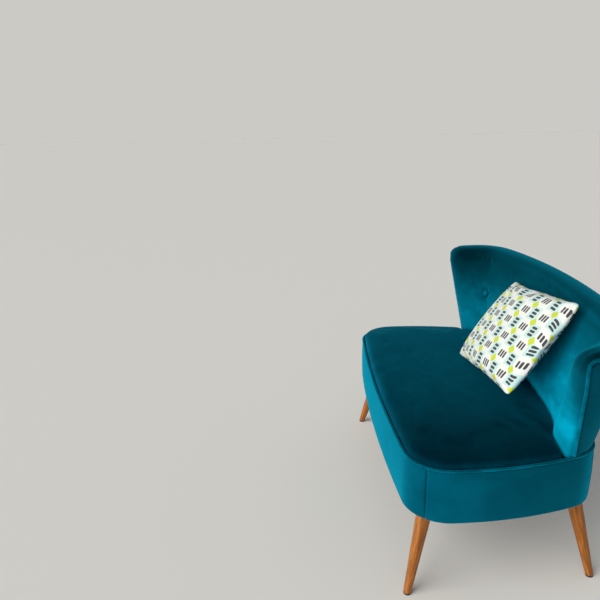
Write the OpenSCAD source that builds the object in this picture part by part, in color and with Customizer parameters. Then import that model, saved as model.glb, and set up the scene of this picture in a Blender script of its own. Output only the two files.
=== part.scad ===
// Two-seat cocktail sofa: a rounded seat on four splayed legs, with a low back
// whose ends curve forward as wings, and one loose oblong cushion leaning on it.
// The outline of the seat is made of tangent arcs, and the back is lofted
// between a lower and an upper curve that follow the rear of that outline.

/* [Seat] */
// Width of the seat at its widest point
seat_w = 1076; // [900:2:1500]
// Depth of the seat from its front edge to its rear edge
seat_d = 586; // [540:2:680]
// Distance from the front edge to the widest point
widest_y = 150; // [130:2:190]
// Radius of the slightly bowed front edge
front_r = 5600; // [3500:50:9000]
// Radius of the front corners
front_corner_r = 118; // [90:1:125]
// Radius of the sides, which draw in towards the rear
side_r = 1080; // [900:10:1600]
// Radius of the rear corners
rear_corner_r = 115; // [95:1:130]
// Radius of the slightly bowed rear edge
rear_r = 2600; // [2000:50:5000]
// Height of the lower edge of the seat border above the floor
border_z = 250; // [180:1:300]
// Height of the upholstered border around the seat
border_h = 152; // [120:1:190]
// Thickness of the padded border panels
border_t = 8; // [5:0.5:12]
// Angle round each corner at which the border panels are seamed together
seam_turn = 51; // [30:1:60]
// Rise of the seat pad from its edge to its crown
seat_crown = 46; // [25:1:60]
// Height of the upright edge of the seat pad
seat_edge_h = 12; // [8:1:16]
// Thickness of the black cover under the seat
dust_t = 1.5; // [1:0.5:3]
// Distance by which the dust cover is set up inside the border
dust_recess = 2; // [1:0.5:4]

/* [Back] */
// Height of the middle of the back above the floor
back_top_z = 780; // [740:1:860]
// Height of the wings above the floor
wing_top_z = 747; // [700:1:790]
// Radius of the upper corner of each wing
wing_corner_r = 64; // [45:1:75]
// Distance from the rear edge of the seat forward to the foot of the wings
wing_l = 154; // [146:1:186]
// Distance by which the wings reach forward at the full height of the back
wing_reach = 46; // [0:1:50]
// Depth of the middle of the back at its foot, from the rear edge of the seat
back_foot_d = 114; // [90:1:130]
// Distance by which the back leans out behind the seat
back_lean = 57; // [30:1:80]
// Distance by which each wing flares out sideways beyond that lean
wing_flare = 74; // [0:1:90]
// Thickness of the wings at the seat
wing_t = 51; // [50:1:66]
// Thickness of the back along its upper edge
back_t = 63; // [60:1:84]
// Distance from the rolled edge at which the back reaches that thickness
roll_l = 20; // [18:1:36]
// Radius of the inner corner between the back and each wing
inner_corner_r = 122; // [100:1:140]
// Distance from the rolled edge to the seam of the outer panel
seam_in = 14; // [13:1:30]
// Radius at which that seam turns the upper corner of the wing
seam_corner_r = 24; // [16:1:36]
// Distance by which that seam runs further from the wing's edge at the foot of the wing
seam_slant = 24; // [0:1:54]
// Thickness of the outer panel
outer_t = 4; // [3:0.5:6]

/* [Trim] */
// Diameter of the piping cord
piping_d = 8; // [6:0.5:10]
// Diameter of the upholstered buttons
button_d = 24; // [18:1:30]
// Spacing of the buttons along the back
button_pitch = 500; // [260:5:520]
// Height of the row of buttons above the floor
button_z = 600; // [540:1:640]
// Height to which a button stands out of the back
button_h = 5; // [3:0.5:8]

/* [Legs] */
// Diameter of a leg where it meets its plate
leg_top_d = 46; // [34:1:54]
// Diameter of a leg at the floor
leg_foot_d = 22; // [18:1:32]
// Distance of the front legs from the widest part of the sides, at the plates
front_leg_side = 98; // [88:1:158]
// Distance of the front legs from the bowed front edge, at the plates
front_leg_end = 67; // [60:1:90]
// Distance of the rear legs from the widest part of the sides, at the plates
rear_leg_side = 138; // [133:1:198]
// Distance of the rear legs from the bowed rear edge, at the plates
rear_leg_end = 43; // [43:1:95]
// Distance by which each foot stands out sideways beyond its plate
foot_out = 62; // [30:1:90]
// Distance by which the front feet stand forward of their plates
front_foot_reach = 58; // [30:1:90]
// Distance by which the rear feet stand behind their plates
rear_foot_reach = 50; // [30:1:90]
// Diameter of the round steel leg plates
plate_d = 58; // [56:1:62]
// Thickness of the leg plates
plate_t = 3; // [2:0.5:4]
// Thickness of the plastic glides
glide_t = 5; // [3:0.5:8]

/* [Loose cushion] */
// Width of the cushion
cushion_w = 470; // [420:5:500]
// Height of the cushion
cushion_h = 315; // [280:5:320]
// Thickness of the cushion at its middle
cushion_t = 105; // [80:1:110]
// Place of the middle of the cushion to the right of the middle line
cushion_x = 92; // [40:1:100]
// Distance from the middle of the cushion to the foot of the back
cushion_out = 50; // [45:1:90]
// Lean of the cushion from upright
cushion_lean = 37.5; // [30:0.5:45]
// Angle by which the right end of the cushion is lifted
cushion_tilt = 9.5; // [0:0.5:10]
// Angle by which the right end of the cushion is turned forward
cushion_turn = 5.5; // [0:0.5:8]

/* [Hidden] */

$fn = 64;
// Clearance between a soft piece and its neighbour
gap = 0.3;
piping_r = piping_d / 2;
piping_sides = 8;
// Distance by which the seat piping stands out of the border
piping_proud = 2;
border_top_z = border_z + border_h;
frame_z = border_z + dust_recess + dust_t;
// Inset that clears the seat piping
pad_inset = 2 * piping_r - piping_proud + gap;
// The back is set in further, and so clears the piping where it flares out over it
back_set_in = 3;
back_inset = pad_inset + back_set_in;
back_h = back_top_z - border_top_z;
// Distances from the front edge to the foot of the wings and to the foot of the back
wing_y = seat_d - wing_l;
seat_reach = seat_d - back_foot_d;

// Centres of the arcs that outline the seat
front_c = [0, front_r];
side_c = [seat_w / 2 - side_r, widest_y];
rear_c = [0, seat_d - rear_r];
front_corner_c = meet(front_c, front_r - front_corner_r, side_c, side_r - front_corner_r, 1);
rear_corner_c = meet(rear_c, rear_r - rear_corner_r, side_c, side_r - rear_corner_r, -1);
front_a = bearing(front_corner_c - front_c);
side_front_a = bearing(front_corner_c - side_c);
side_rear_a = bearing(rear_corner_c - side_c);
rear_a = bearing(rear_corner_c - rear_c);

// Angle of a plan vector
function bearing(v) = atan2(v.y, v.x);

// Point where two circles meet, to the right or left of the line between them
function meet(c1, r1, c2, r2, side) =
    let (d = norm(c2 - c1),
         a = (r1 * r1 - r2 * r2 + d * d) / (2 * d),
         h = sqrt(r1 * r1 - a * a),
         e = (c2 - c1) / d)
    c1 + a * e + side * h * [-e.y, e.x];

// Point of a circle at an angle
function on_circle(c, r, a) = c + r * [cos(a), sin(a)];

// An arc is [centre, radius, first angle, last angle]
function arc_length(arc) = arc[1] * (arc[3] - arc[2]) * PI / 180;
function arc_point(arc, share) = on_circle(arc[0], arc[1], arc[2] + share * (arc[3] - arc[2]));

// The right half of the seat outline as arcs, from the front middle to the rear middle
function outline_arcs(inset) = [
    [front_c, front_r - inset, -90, front_a],
    [front_corner_c, front_corner_r - inset, front_a, side_front_a],
    [side_c, side_r - inset, side_front_a, side_rear_a],
    [rear_corner_c, rear_corner_r - inset, side_rear_a, rear_a],
    [rear_c, rear_r - inset, rear_a, 90]];

// Steps into which each of those arcs is divided
outline_steps = [8, 14, 12, 12, 8];

// Points of the right half, each arc without its last point but the last arc
function half_outline(inset) =
    let (arcs = outline_arcs(inset))
    [for (k = [0 : 4]) for (i = [0 : outline_steps[k] - (k < 4 ? 1 : 0)])
        arc_point(arcs[k], i / outline_steps[k])];

function mirrored(p) = [-p.x, p.y];
function reversed(list) = [for (i = [len(list) - 1 : -1 : 0]) list[i]];
function inner(list) = [for (i = [1 : len(list) - 2]) list[i]];

// The whole outline, starting at the front middle
function full_outline(inset) =
    let (half = half_outline(inset))
    concat(half, [for (p = reversed(inner(half))) mirrored(p)]);

function mix(a, b, t) = a + (b - a) * t;
function unit(v) = v / norm(v);
function running(v, i) = i < 0 ? 0 : v[i] + running(v, i - 1);

// Point at a distance along a chain of arcs
function chain_point(arcs, s, k = 0) =
    let (len_k = arc_length(arcs[k]))
    s <= len_k || k == len(arcs) - 1
        ? arc_point(arcs[k], s / len_k)
        : chain_point(arcs, s - len_k, k + 1);
function chain_length(arcs) = running([for (arc = arcs) arc_length(arc)], len(arcs) - 1);

// The arcs of a chain that lie behind a depth, the first one cut there
function behind(arcs, y) = [for (arc = arcs)
    if (on_circle(arc[0], arc[1], arc[3]).y > y)
        let (low = (y - arc[0].y) / arc[1])
        [arc[0], arc[1], low > -1 ? max(arc[2], asin(low)) : arc[2], arc[3]]];

// The rear half of the outline, from the side to the rear middle
function rear_arcs(inset) = [for (k = [2 : 4]) outline_arcs(inset)[k]];

// Inner face of the back at the seat: a rear arc, a corner arc and a side arc
inner_rear_c = [0, seat_reach - rear_r];
inner_side_r = side_r - back_inset - wing_t;
inner_corner_c = meet(inner_rear_c, rear_r - inner_corner_r, side_c, inner_side_r - inner_corner_r, -1);
inner_low_arcs = [
    [side_c, inner_side_r, side_front_a, bearing(inner_corner_c - side_c)],
    [inner_corner_c, inner_corner_r, bearing(inner_corner_c - side_c),
        bearing(inner_corner_c - inner_rear_c)],
    [inner_rear_c, rear_r, bearing(inner_corner_c - inner_rear_c), 90]];

// Chains for the four edges of the back, from the wing's front to the middle
outer_low = behind(rear_arcs(back_inset), wing_y);
outer_high = behind(rear_arcs(back_inset - back_lean), wing_y - wing_reach);
inner_low = behind(inner_low_arcs, wing_y);
inner_high = behind(rear_arcs(back_inset - back_lean + back_t), wing_y - wing_reach);
half_len = chain_length(outer_high);

// The upper curves are spread sideways so that the wings flare out
function spread(p) = [p.x * (1 + wing_flare / (seat_w / 2)), p.y];

// Distances along the half at which the back is divided: close together in the
// rolled edge and round the wing's corner, then even steps to the middle
roll_station_turns = [16, 34, 52, 70, 90];
roll_stations = [for (t = roll_station_turns) roll_l * (1 - cos(t))];
corner_steps = 5;
corner_end = 1.6 * wing_corner_r;
corner_stations = [for (i = [1 : corner_steps]) mix(roll_l, corner_end, i / corner_steps)];
plain_steps = 22;
plain_stations = [for (i = [1 : plain_steps]) mix(corner_end, half_len, i / plain_steps)];
stations = concat(roll_stations, corner_stations, plain_stations);

// Height of the upper edge, at a distance along the back from the wing's front
function crest(a) = mix(wing_top_z, back_top_z, 1 - pow(1 - a / half_len, 2));
function edge_z(a) = a < wing_corner_r
    ? crest(a) - wing_corner_r + sqrt(pow(wing_corner_r, 2) - pow(wing_corner_r - a, 2))
    : crest(a);

// Distance of a point of the back from its rolled edge
function edge_depth(a, z) =
    let (below = crest(a) - z, side = wing_corner_r - a, up = wing_corner_r - below)
    side > 0 && up > 0 ? max(0, wing_corner_r - norm([side, up])) : min(a, below);

// Share of the full thickness at a depth from the rolled edge, and slope of the face there
function fullness(depth) = depth >= roll_l ? 1 : sqrt(1 - pow(1 - depth / roll_l, 2));
function slope_at(depth) = depth >= roll_l ? 0
    : back_t / 2 / roll_l * (1 - depth / roll_l) / fullness(depth);

// A point of the back: a is along the half, z the height, face 1 outside and -1 inside
function back_point(a, z, face, lift = 0) =
    let (share = a / half_len,
         rise = (z - border_top_z) / back_h,
         out = mix(chain_point(outer_low, share * chain_length(outer_low)),
                   spread(chain_point(outer_high, share * half_len)), rise),
         in = mix(chain_point(inner_low, share * chain_length(inner_low)),
                  spread(chain_point(inner_high, share * chain_length(inner_high))), rise),
         core = (out + in) / 2,
         half_t = norm(out - in) / 2 * fullness(edge_depth(a, z)),
         p = core + unit(out - in) * face * (half_t + lift))
    [p.x, p.y, z];

// Heights of the points of a section, below and within the rolled edge
plain_row_steps = 6;
function plain_rows(a) = [for (i = [0 : plain_row_steps])
    mix(border_top_z, edge_z(a) - roll_l, i / plain_row_steps)];
roll_row_turns = [20, 40, 58, 74, 86];
function roll_rows(a) = [for (t = roll_row_turns) edge_z(a) - roll_l * (1 - sin(t))];

// One section across the back: up its inner face and down its outer face
function back_section(a) =
    let (top = edge_z(a), rows = concat(plain_rows(a), roll_rows(a)))
    concat([for (z = rows) back_point(a, z, -1)],
        [back_point(a, top - 0.2, 0)],
        [for (z = reversed(rows)) back_point(a, z, 1)]);

// The right half's sections are followed by their mirror images, back to the left wing
function flip(section) = [for (p = section) [-p.x, p.y, p.z]];
function all_but_last(list) = [for (i = [0 : len(list) - 2]) list[i]];
function both_flips(half) = concat(half, [for (s = reversed(all_but_last(half))) flip(s)]);

// Closed skin over a row of sections, each a ring of the same number of points
// that climbs one face and comes down the other; every quad is split from the
// lower point of one section to the upper point of the next
module skin(sections) {
    n = len(sections[0]);
    m = len(sections);
    points = [for (s = sections) each s];
    sides = [for (j = [0 : m - 2]) for (i = [0 : n - 1])
        let (i2 = (i + 1) % n, a = j * n, b = (j + 1) * n)
        each i < floor(n / 2)
            ? [[a + i, b + i, b + i2], [a + i, b + i2, a + i2]]
            : [[a + i, b + i, a + i2], [b + i, b + i2, a + i2]]];
    polyhedron(points, concat(sides,
        cap(n, 0, false), cap(n, (m - 1) * n, true)));
}

// Strip of triangles that closes a ring whose points pair up across it
function cap(n, first, far) =
    let (half = floor(n / 2))
    [for (i = [0 : half - 1]) each
        let (a = i, b = i + 1, c = n - 1 - i, d = n - 2 - i,
             pair = d > b ? [[a, b, d], [a, d, c]] : [[a, b, c]])
        [for (t = pair) far ? [first + t[0], first + t[2], first + t[1]] : [for (v = t) first + v]]];

// Tube along a path of points
module tube(path, r, closed) {
    n = len(path);
    ring_r = r / cos(180 / piping_sides);
    rings = [for (i = [0 : n - 1])
        let (before = path[closed ? (i + n - 1) % n : max(i - 1, 0)],
             after = path[closed ? (i + 1) % n : min(i + 1, n - 1)],
             along = unit(after - before),
             across = unit(cross(along, [0, 0, 1])),
             up = cross(across, along))
        [for (k = [0 : piping_sides - 1])
            let (t = (k + 0.5) * 360 / piping_sides)
            path[i] + ring_r * (cos(t) * across + sin(t) * up)]];
    faces = [for (j = [0 : closed ? n - 1 : n - 2]) for (k = [0 : piping_sides - 1])
        let (k2 = (k + 1) % piping_sides, a = j * piping_sides, b = ((j + 1) % n) * piping_sides)
        each [[a + k, b + k2, b + k], [a + k, a + k2, b + k2]]];
    ends = closed ? [] : concat(
        [for (k = [1 : piping_sides - 2]) [0, k + 1, k]],
        [for (k = [1 : piping_sides - 2])
            let (far = (n - 1) * piping_sides) [far, far + k, far + k + 1]]);
    polyhedron([for (ring = rings) each ring], concat(faces, ends));
}

// Distance from the rolled edge to the centre of the seam's corner
turn_in = seam_in + seam_corner_r;

// Height of a line that runs inside the rolled edge, at a distance along the back
function inset_z(a, inset) =
    let (side = turn_in - a, r = turn_in - inset)
    side > 0
        ? crest(a) - turn_in + sqrt(max(0, r * r - side * side))
        : crest(a) - inset;
function seam_z(a) = inset_z(a, seam_in);

// Reach of the piping from its middle, with its clearance
piping_reach = piping_r / cos(180 / piping_sides) + gap;

// Distance from the rolled edge to the outer panel, which clears the piping at the
// foot too, where the back is shorter
panel_in = seam_in + piping_reach * half_len / chain_length(outer_low);

// The seam of the wing is set further in towards its foot, and the panel's edge with
// it; what lies behind that edge follows less and less
turn_z = wing_top_z - turn_in;
function slanted(a, z) =
    a + seam_slant * min(1, max(0, (turn_z - z) / (turn_z - border_top_z)))
        * min(1, max(0, 1 - (a - panel_in) / wing_corner_r));

// Middle of the piping cord at a point of the outer face; it stands out further where
// that face slopes towards the rolled edge
function seam_point(a, z) =
    back_point(a, z, 1, piping_reach * norm([1, slope_at(edge_depth(a, z))]) + 2 * gap);

// Half the depth of the whole sofa, which puts the origin in the middle
rear_y = seam_point(half_len, seam_z(half_len)).y + piping_r;
middle_y = (rear_y - piping_proud) / 2;

// Moves a piece from the seat's front edge to the middle of the sofa
module placed() {
    translate([0, -middle_y, 0])
    children();
}

// One panel of the border between two places on the outline
module border_panel(points_out, points_in) {
    color("darkcyan")
    placed()
    translate([0, 0, border_z])
    linear_extrude(border_h)
    polygon(concat(points_out, reversed(points_in)));
}

// Number of outline points from the front middle to each corner seam
seam_front = outline_steps[0] + round(outline_steps[1] * seam_turn / 90);
seam_rear = outline_steps[0] + outline_steps[1] + outline_steps[2]
    + round(outline_steps[3] * seam_turn / 90);
function part_outline(inset, first, last) =
    let (half = half_outline(inset))
    [for (i = [first : last]) half[i]];
function both_sides(points) = concat([for (p = reversed(points)) mirrored(p)],
    [for (i = [1 : len(points) - 1]) points[i]]);

module front_border() {
    border_panel(both_sides(part_outline(0, 0, seam_front)),
        both_sides(part_outline(border_t, 0, seam_front)));
}

module rear_border() {
    last = len(half_outline(0)) - 1;
    out = reversed(part_outline(0, seam_rear, last));
    in = reversed(part_outline(border_t, seam_rear, last));
    border_panel(both_sides(out), both_sides(in));
}

module right_side_border() {
    border_panel(part_outline(0, seam_front, seam_rear), part_outline(border_t, seam_front, seam_rear));
}

module left_side_border() {
    mirror([1, 0, 0])
    right_side_border();
}

module seat_frame() {
    color("burlywood")
    placed()
    translate([0, 0, frame_z])
    linear_extrude(border_top_z - frame_z)
    polygon(full_outline(border_t));
}

module dust_cover() {
    color("black")
    placed()
    translate([0, 0, frame_z - dust_t])
    linear_extrude(dust_t)
    polygon(full_outline(border_t + gap));
}

// Outline of the seat pad at its foot and at its upper edge. Both take the seat's own
// outline in front of the wings. Behind that they follow the wings and the inner face
// of the back at each point's own height, so the pad meets the leaning back closely.
pad_front_arcs = [for (k = [0 : 1]) outline_arcs(pad_inset)[k]];
pad_front_points = [for (k = [0 : 1]) for (i = [0 : outline_steps[k] - 1])
    arc_point(pad_front_arcs[k], i / outline_steps[k])];
pad_side_steps = 8;
function wing_front(z) = back_point(0, z, 0).y - 2 * gap;
function pad_side_point(z, share) = on_circle(side_c, side_r - pad_inset,
    mix(side_front_a, asin((wing_front(z) - side_c.y) / (side_r - pad_inset)), share));
function foot_of_back(a, z) = let (p = back_point(a, z, -1, 2 * gap)) [p.x, min(p.y, rear_limit(a, z))];
function rear_limit(a, z) = a < roll_l ? back_point(a, z, 0).y : seat_d;
function pad_outline_at(heights) =
    let (n = len(pad_front_points), m = n + pad_side_steps + 1,
         half = concat(pad_front_points,
            [for (i = [0 : pad_side_steps]) pad_side_point(heights[n + i], i / pad_side_steps)],
            [[back_point(0, heights[m], 0).x, wing_front(heights[m])]],
            [for (i = [0 : len(stations) - 1]) foot_of_back(stations[i], heights[m + 1 + i])]))
    concat(half, [for (p = reversed(inner(half))) mirrored(p)]);
pad_centre = [0, seat_reach / 2];
seat_top_z = border_top_z + seat_edge_h + seat_crown;
function both_halves(half) = concat(half, reversed(inner(half)));

// Share of the crown at a share of the way from the pad's edge to its middle, flat in the middle
flat_share = 0.5;
function pad_rise(t) = t >= flat_share ? 1 : pow(1 - pow(1 - t / flat_share, 2.2), 0.5);
pad_rings = [0, 0.01, 0.03, 0.06, 0.11, 0.18, 0.27, 0.38, 0.5, 0.75];

// Share of the crown that the pad's edge already has: none at the front and the
// sides, and most of it where the pad meets the back
rear_rise = 0.86;
pad_start_half = concat([for (i = [0 : len(pad_front_points) + pad_side_steps]) 0], [0.3 * rear_rise],
    [for (a = stations) rear_rise * min(1, mix(0.4, 1, a / roll_l))]);
pad_start = both_halves(pad_start_half);
function pad_z(rise) = border_top_z + seat_edge_h + seat_crown * rise;
pad_foot = pad_outline_at([for (s = pad_start_half) border_top_z]);
pad_edge = pad_outline_at([for (s = pad_start_half) pad_z(s)]);

module seat_pad() {
    n = len(pad_edge);
    m = len(pad_rings) + 1;
    points = concat(
        [for (p = pad_foot) [p.x, p.y, border_top_z]],
        [for (t = pad_rings) for (i = [0 : n - 1])
            let (q = mix(pad_edge[i], pad_centre, t))
            [q.x, q.y, pad_z(mix(pad_start[i], 1, pad_rise(t)))]],
        [[pad_centre.x, pad_centre.y, seat_top_z]]);
    sides = [for (j = [0 : m - 2]) for (i = [0 : n - 1])
        let (i2 = (i + 1) % n, a = j * n, b = (j + 1) * n)
        each [[a + i, b + i, b + i2], [a + i, b + i2, a + i2]]];
    top = [for (i = [0 : n - 1]) [(m - 1) * n + i, len(points) - 1, (m - 1) * n + (i + 1) % n]];
    bottom = [[for (i = [0 : n - 1]) i]];
    color("darkslategray")
    placed()
    polyhedron(points, concat(sides, top, bottom));
}

module seat_piping() {
    z = border_top_z + piping_r;
    color("teal")
    placed()
    tube([for (p = full_outline(piping_r - piping_proud)) [p.x, p.y, z]], piping_r, true);
}

module back_pad() {
    half = [for (a = stations) back_section(a)];
    color("teal")
    placed()
    skin(both_flips(half));
}

// One section across the outer panel, from its face against the back to its outer face
panel_foot_z = border_top_z + piping_d + 5 * gap;
function panel_section(a) =
    let (rows = concat([panel_foot_z], [for (z = plain_rows(a)) if (z > panel_foot_z + 1) z],
        [inset_z(a, panel_in)]))
    concat([for (z = rows) back_point(slanted(a, z), z, 1, 2 * gap)],
        [for (z = reversed(rows)) back_point(slanted(a, z), z, 1, outer_t)]);

module back_outer_panel() {
    half = [for (a = concat([panel_in], [for (b = stations) if (b > panel_in + 1) b])) panel_section(a)];
    color("darkcyan")
    placed()
    skin(both_flips(half));
}

// Middle of the end of the back piping, which clears the seat piping
cord_foot_z = panel_foot_z + piping_r / 2;

module back_piping() {
    half = concat(
        [for (i = [0 : 5])
            let (z = mix(cord_foot_z, turn_z, i / 6))
            seam_point(slanted(seam_in, z), z)],
        [for (t = [0 : 15 : 90])
            let (a = turn_in - seam_corner_r * cos(t))
            seam_point(a, crest(a) - turn_in + seam_corner_r * sin(t))],
        [for (a = stations) if (a > turn_in + piping_r) seam_point(a, seam_z(a))]);
    color("teal")
    placed()
    tube(concat(half, flip(reversed(all_but_last(half)))), piping_r, false);
}

// Point of the inner face, which is flat between one section and the next
function facet_point(a, z) =
    let (near = half_len - abs(half_len - a),
         k = max([for (i = [0 : len(stations) - 2]) if (stations[i] <= near) i]),
         share = (near - stations[k]) / (stations[k + 1] - stations[k]),
         p = mix(back_point(stations[k], z, -1), back_point(stations[k + 1], z, -1), share))
    a > half_len ? [-p.x, p.y, p.z] : p;

// A button is a short dome on the inner face of the back, raised so that its rim
// clears the hollow of that face and the fold between two facets
module button(offset) {
    a = half_len - abs(offset);
    r = button_d / 2;
    middle = facet_point(a, button_z);
    sides = [for (reach = [-r, r]) facet_point(a + reach, button_z)];
    above = facet_point(a, button_z + r);
    n = unit(cross(sides[0] - sides[1], above - middle));
    hollow = max([for (p = sides) (p - middle) * n]);
    color("teal")
    placed()
    mirror([offset < 0 ? 1 : 0, 0, 0])
    translate(middle + n * (hollow + 3 * gap))
    rotate([0, acos(n.z), atan2(n.y, n.x)])
    rotate_extrude()
    polygon(concat([[0, 0]],
        [for (t = [0 : 15 : 90]) [r * cos(t), button_h * sin(t)]]));
}

module left_button() { button(-button_pitch); }
module middle_button() { button(0); }
module right_button() { button(button_pitch); }

// A leg's top and foot, for a side (1 right, -1 left) and an end (1 rear, -1 front)
plate_z = frame_z - dust_t - plate_t;
function front_edge(x) = front_r - sqrt(front_r * front_r - x * x);
function rear_edge(x) = seat_d - rear_r + sqrt(rear_r * rear_r - x * x);
function leg_top(side, end) = let (x = seat_w / 2 - (end > 0 ? rear_leg_side : front_leg_side))
    [side * x, end > 0 ? rear_edge(x) - rear_leg_end : front_edge(x) + front_leg_end, plate_z];
function leg_foot(side, end) = leg_top(side, end)
    + [side * foot_out, end > 0 ? rear_foot_reach : -front_foot_reach, glide_t - plate_z];

// A leg is a slanted cone with level ends; the quarter turn keeps the seam of
// its round surface away from the highest and lowest points of those ends
module leg(side, end) {
    top = leg_top(side, end);
    foot = leg_foot(side, end);
    along = top - foot;
    length = norm(along);
    spare = leg_top_d / 2;
    slope = (leg_top_d - leg_foot_d) / 2 / length;
    color("peru")
    placed()
    intersection() {
        translate(foot)
        rotate([0, acos(along.z / length), atan2(along.y, along.x)])
        translate([0, 0, -spare])
        rotate([0, 0, 90])
        cylinder(h = length + 2 * spare, r1 = leg_foot_d / 2 - slope * spare,
            r2 = leg_top_d / 2 + slope * spare);
        translate([(top.x + foot.x) / 2, (top.y + foot.y) / 2, (glide_t + plate_z) / 2])
        cube([6 * leg_top_d, 6 * leg_top_d, plate_z - glide_t], center = true);
    }
}

module leg_plate(side, end) {
    top = leg_top(side, end);
    color("silver")
    placed()
    translate([top.x, top.y, plate_z])
    cylinder(h = plate_t, d = plate_d);
}

module glide(side, end) {
    foot = leg_foot(side, end);
    color("dimgray")
    placed()
    translate([foot.x, foot.y, 0])
    cylinder(h = glide_t, d = leg_foot_d);
}

module front_left_leg() { leg(-1, -1); }
module front_right_leg() { leg(1, -1); }
module rear_left_leg() { leg(-1, 1); }
module rear_right_leg() { leg(1, 1); }
module front_left_leg_plate() { leg_plate(-1, -1); }
module front_right_leg_plate() { leg_plate(1, -1); }
module rear_left_leg_plate() { leg_plate(-1, 1); }
module rear_right_leg_plate() { leg_plate(1, 1); }
module front_left_glide() { glide(-1, -1); }
module front_right_glide() { glide(1, -1); }
module rear_left_glide() { glide(-1, 1); }
module rear_right_glide() { glide(1, 1); }

// The cushion is a pillow, thickest in the middle and thin along its edges
cushion_grid = 14;
cushion_edge = 2;
function cushion_side(face) = [for (j = [0 : cushion_grid]) for (i = [0 : cushion_grid])
    let (u = 2 * i / cushion_grid - 1, v = 2 * j / cushion_grid - 1,
         fat = sqrt((1 - u * u) * (1 - v * v)))
    [u * cushion_w / 2, v * cushion_h / 2, face * mix(cushion_edge, cushion_t / 2, fat)]];

// Height of the cushion's middle, at which its lowest point lies on the seat
cushion_drop = min([for (p = cushion_side(-1))
    (p.x * sin(cushion_tilt) + p.y * cos(cushion_tilt)) * cos(cushion_lean) + p.z * sin(cushion_lean)]);
cushion_z = seat_top_z + gap - cushion_drop;

module scatter_cushion() {
    n = cushion_grid + 1;
    upper = cushion_side(1);
    lower = cushion_side(-1);
    base = len(upper);
    tops = [for (j = [0 : n - 2]) for (i = [0 : n - 2])
        let (a = j * n + i, b = a + 1, c = a + n, d = c + 1)
        each [[a, c, d], [a, d, b]]];
    under = [for (t = tops) [base + t[0], base + t[2], base + t[1]]];
    rim = concat([for (i = [0 : n - 1]) i], [for (j = [1 : n - 1]) j * n + n - 1],
        [for (i = [n - 2 : -1 : 0]) (n - 1) * n + i], [for (j = [n - 2 : -1 : 1]) j * n]);
    edge = [for (k = [0 : len(rim) - 1])
        let (a = rim[k], b = rim[(k + 1) % len(rim)])
        each [[a, b, base + b], [a, base + b, base + a]]];
    color("whitesmoke")
    placed()
    translate([cushion_x, seat_reach - cushion_out, cushion_z])
    rotate([0, 0, -cushion_turn])
    rotate([90 - cushion_lean, 0, 0])
    rotate([0, 0, cushion_tilt])
    polyhedron(concat(upper, lower), concat(tops, under, edge));
}

seat_frame();
dust_cover();
front_border();
left_side_border();
right_side_border();
rear_border();
seat_pad();
seat_piping();
back_pad();
back_outer_panel();
back_piping();
left_button();
middle_button();
right_button();
front_left_leg_plate();
front_right_leg_plate();
rear_left_leg_plate();
rear_right_leg_plate();
front_left_leg();
front_right_leg();
rear_left_leg();
rear_right_leg();
front_left_glide();
front_right_glide();
rear_left_glide();
rear_right_glide();
scatter_cushion();
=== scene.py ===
"""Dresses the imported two-seat cocktail sofa: velvet, piping, turned legs and a printed cushion.

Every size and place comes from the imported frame. The padded pieces are inflated as cloth, and
the hard pieces are modelled with Blender's own operators around the nodes that they stand for.
"""

import logging
import math
from collections.abc import Callable, Iterator, Sequence
from contextlib import contextmanager
from dataclasses import dataclass
from enum import Enum
from typing import Any

import bmesh
import bpy
import numpy as np
from mathutils import Matrix, Vector
from mathutils.bvhtree import BVHTree


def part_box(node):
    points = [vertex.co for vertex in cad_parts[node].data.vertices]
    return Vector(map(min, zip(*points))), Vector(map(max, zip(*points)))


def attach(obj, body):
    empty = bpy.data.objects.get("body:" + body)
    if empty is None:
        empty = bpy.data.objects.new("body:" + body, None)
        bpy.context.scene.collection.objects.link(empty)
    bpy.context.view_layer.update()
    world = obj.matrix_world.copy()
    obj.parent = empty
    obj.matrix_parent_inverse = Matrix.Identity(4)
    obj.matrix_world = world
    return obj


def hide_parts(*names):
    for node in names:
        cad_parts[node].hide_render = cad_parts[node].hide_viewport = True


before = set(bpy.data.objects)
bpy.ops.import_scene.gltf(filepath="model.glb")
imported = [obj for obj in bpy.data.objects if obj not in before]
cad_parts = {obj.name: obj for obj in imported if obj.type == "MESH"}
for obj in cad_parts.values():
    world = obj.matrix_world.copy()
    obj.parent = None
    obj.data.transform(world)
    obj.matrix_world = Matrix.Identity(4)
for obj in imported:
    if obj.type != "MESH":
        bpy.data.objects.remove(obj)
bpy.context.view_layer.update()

LOG = logging.getLogger("sofa")
BODY = "root"
MM = 0.001
# Points closer than the first are one point, and a point that is as close as the second to a
# height lies at it.
WELD = 0.02 * MM
LEVEL = 0.05 * MM
# Faces of a turned, pressed or moulded part that meet at less than this are shaded as one.
CRISP = math.radians(35)
Colour = tuple[float, float, float, float]


class Slot(Enum):
    """The record's material slots, named for the new pieces but not set on them."""

    VELVET = "velvet"
    PIPING = "piping"
    LEG_WOOD = "leg_wood"
    PLATE_STEEL = "plate_steel"
    GLIDE_PLASTIC = "glide_plastic"
    CUSHION_COTTON = "cushion_cotton"


class Corner(Enum):
    """The four corners of the sofa, as the nodes name them."""

    FRONT_LEFT = "front_left"
    FRONT_RIGHT = "front_right"
    REAR_LEFT = "rear_left"
    REAR_RIGHT = "rear_right"


class Side(Enum):
    """The four panels of the seat's border, as the nodes name them."""

    FRONT = "front_border"
    LEFT = "left_side_border"
    RIGHT = "right_side_border"
    REAR = "rear_border"


class Place(Enum):
    """The three buttons of the back, as the nodes name them."""

    LEFT = "left_button"
    MIDDLE = "middle_button"
    RIGHT = "right_button"


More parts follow.
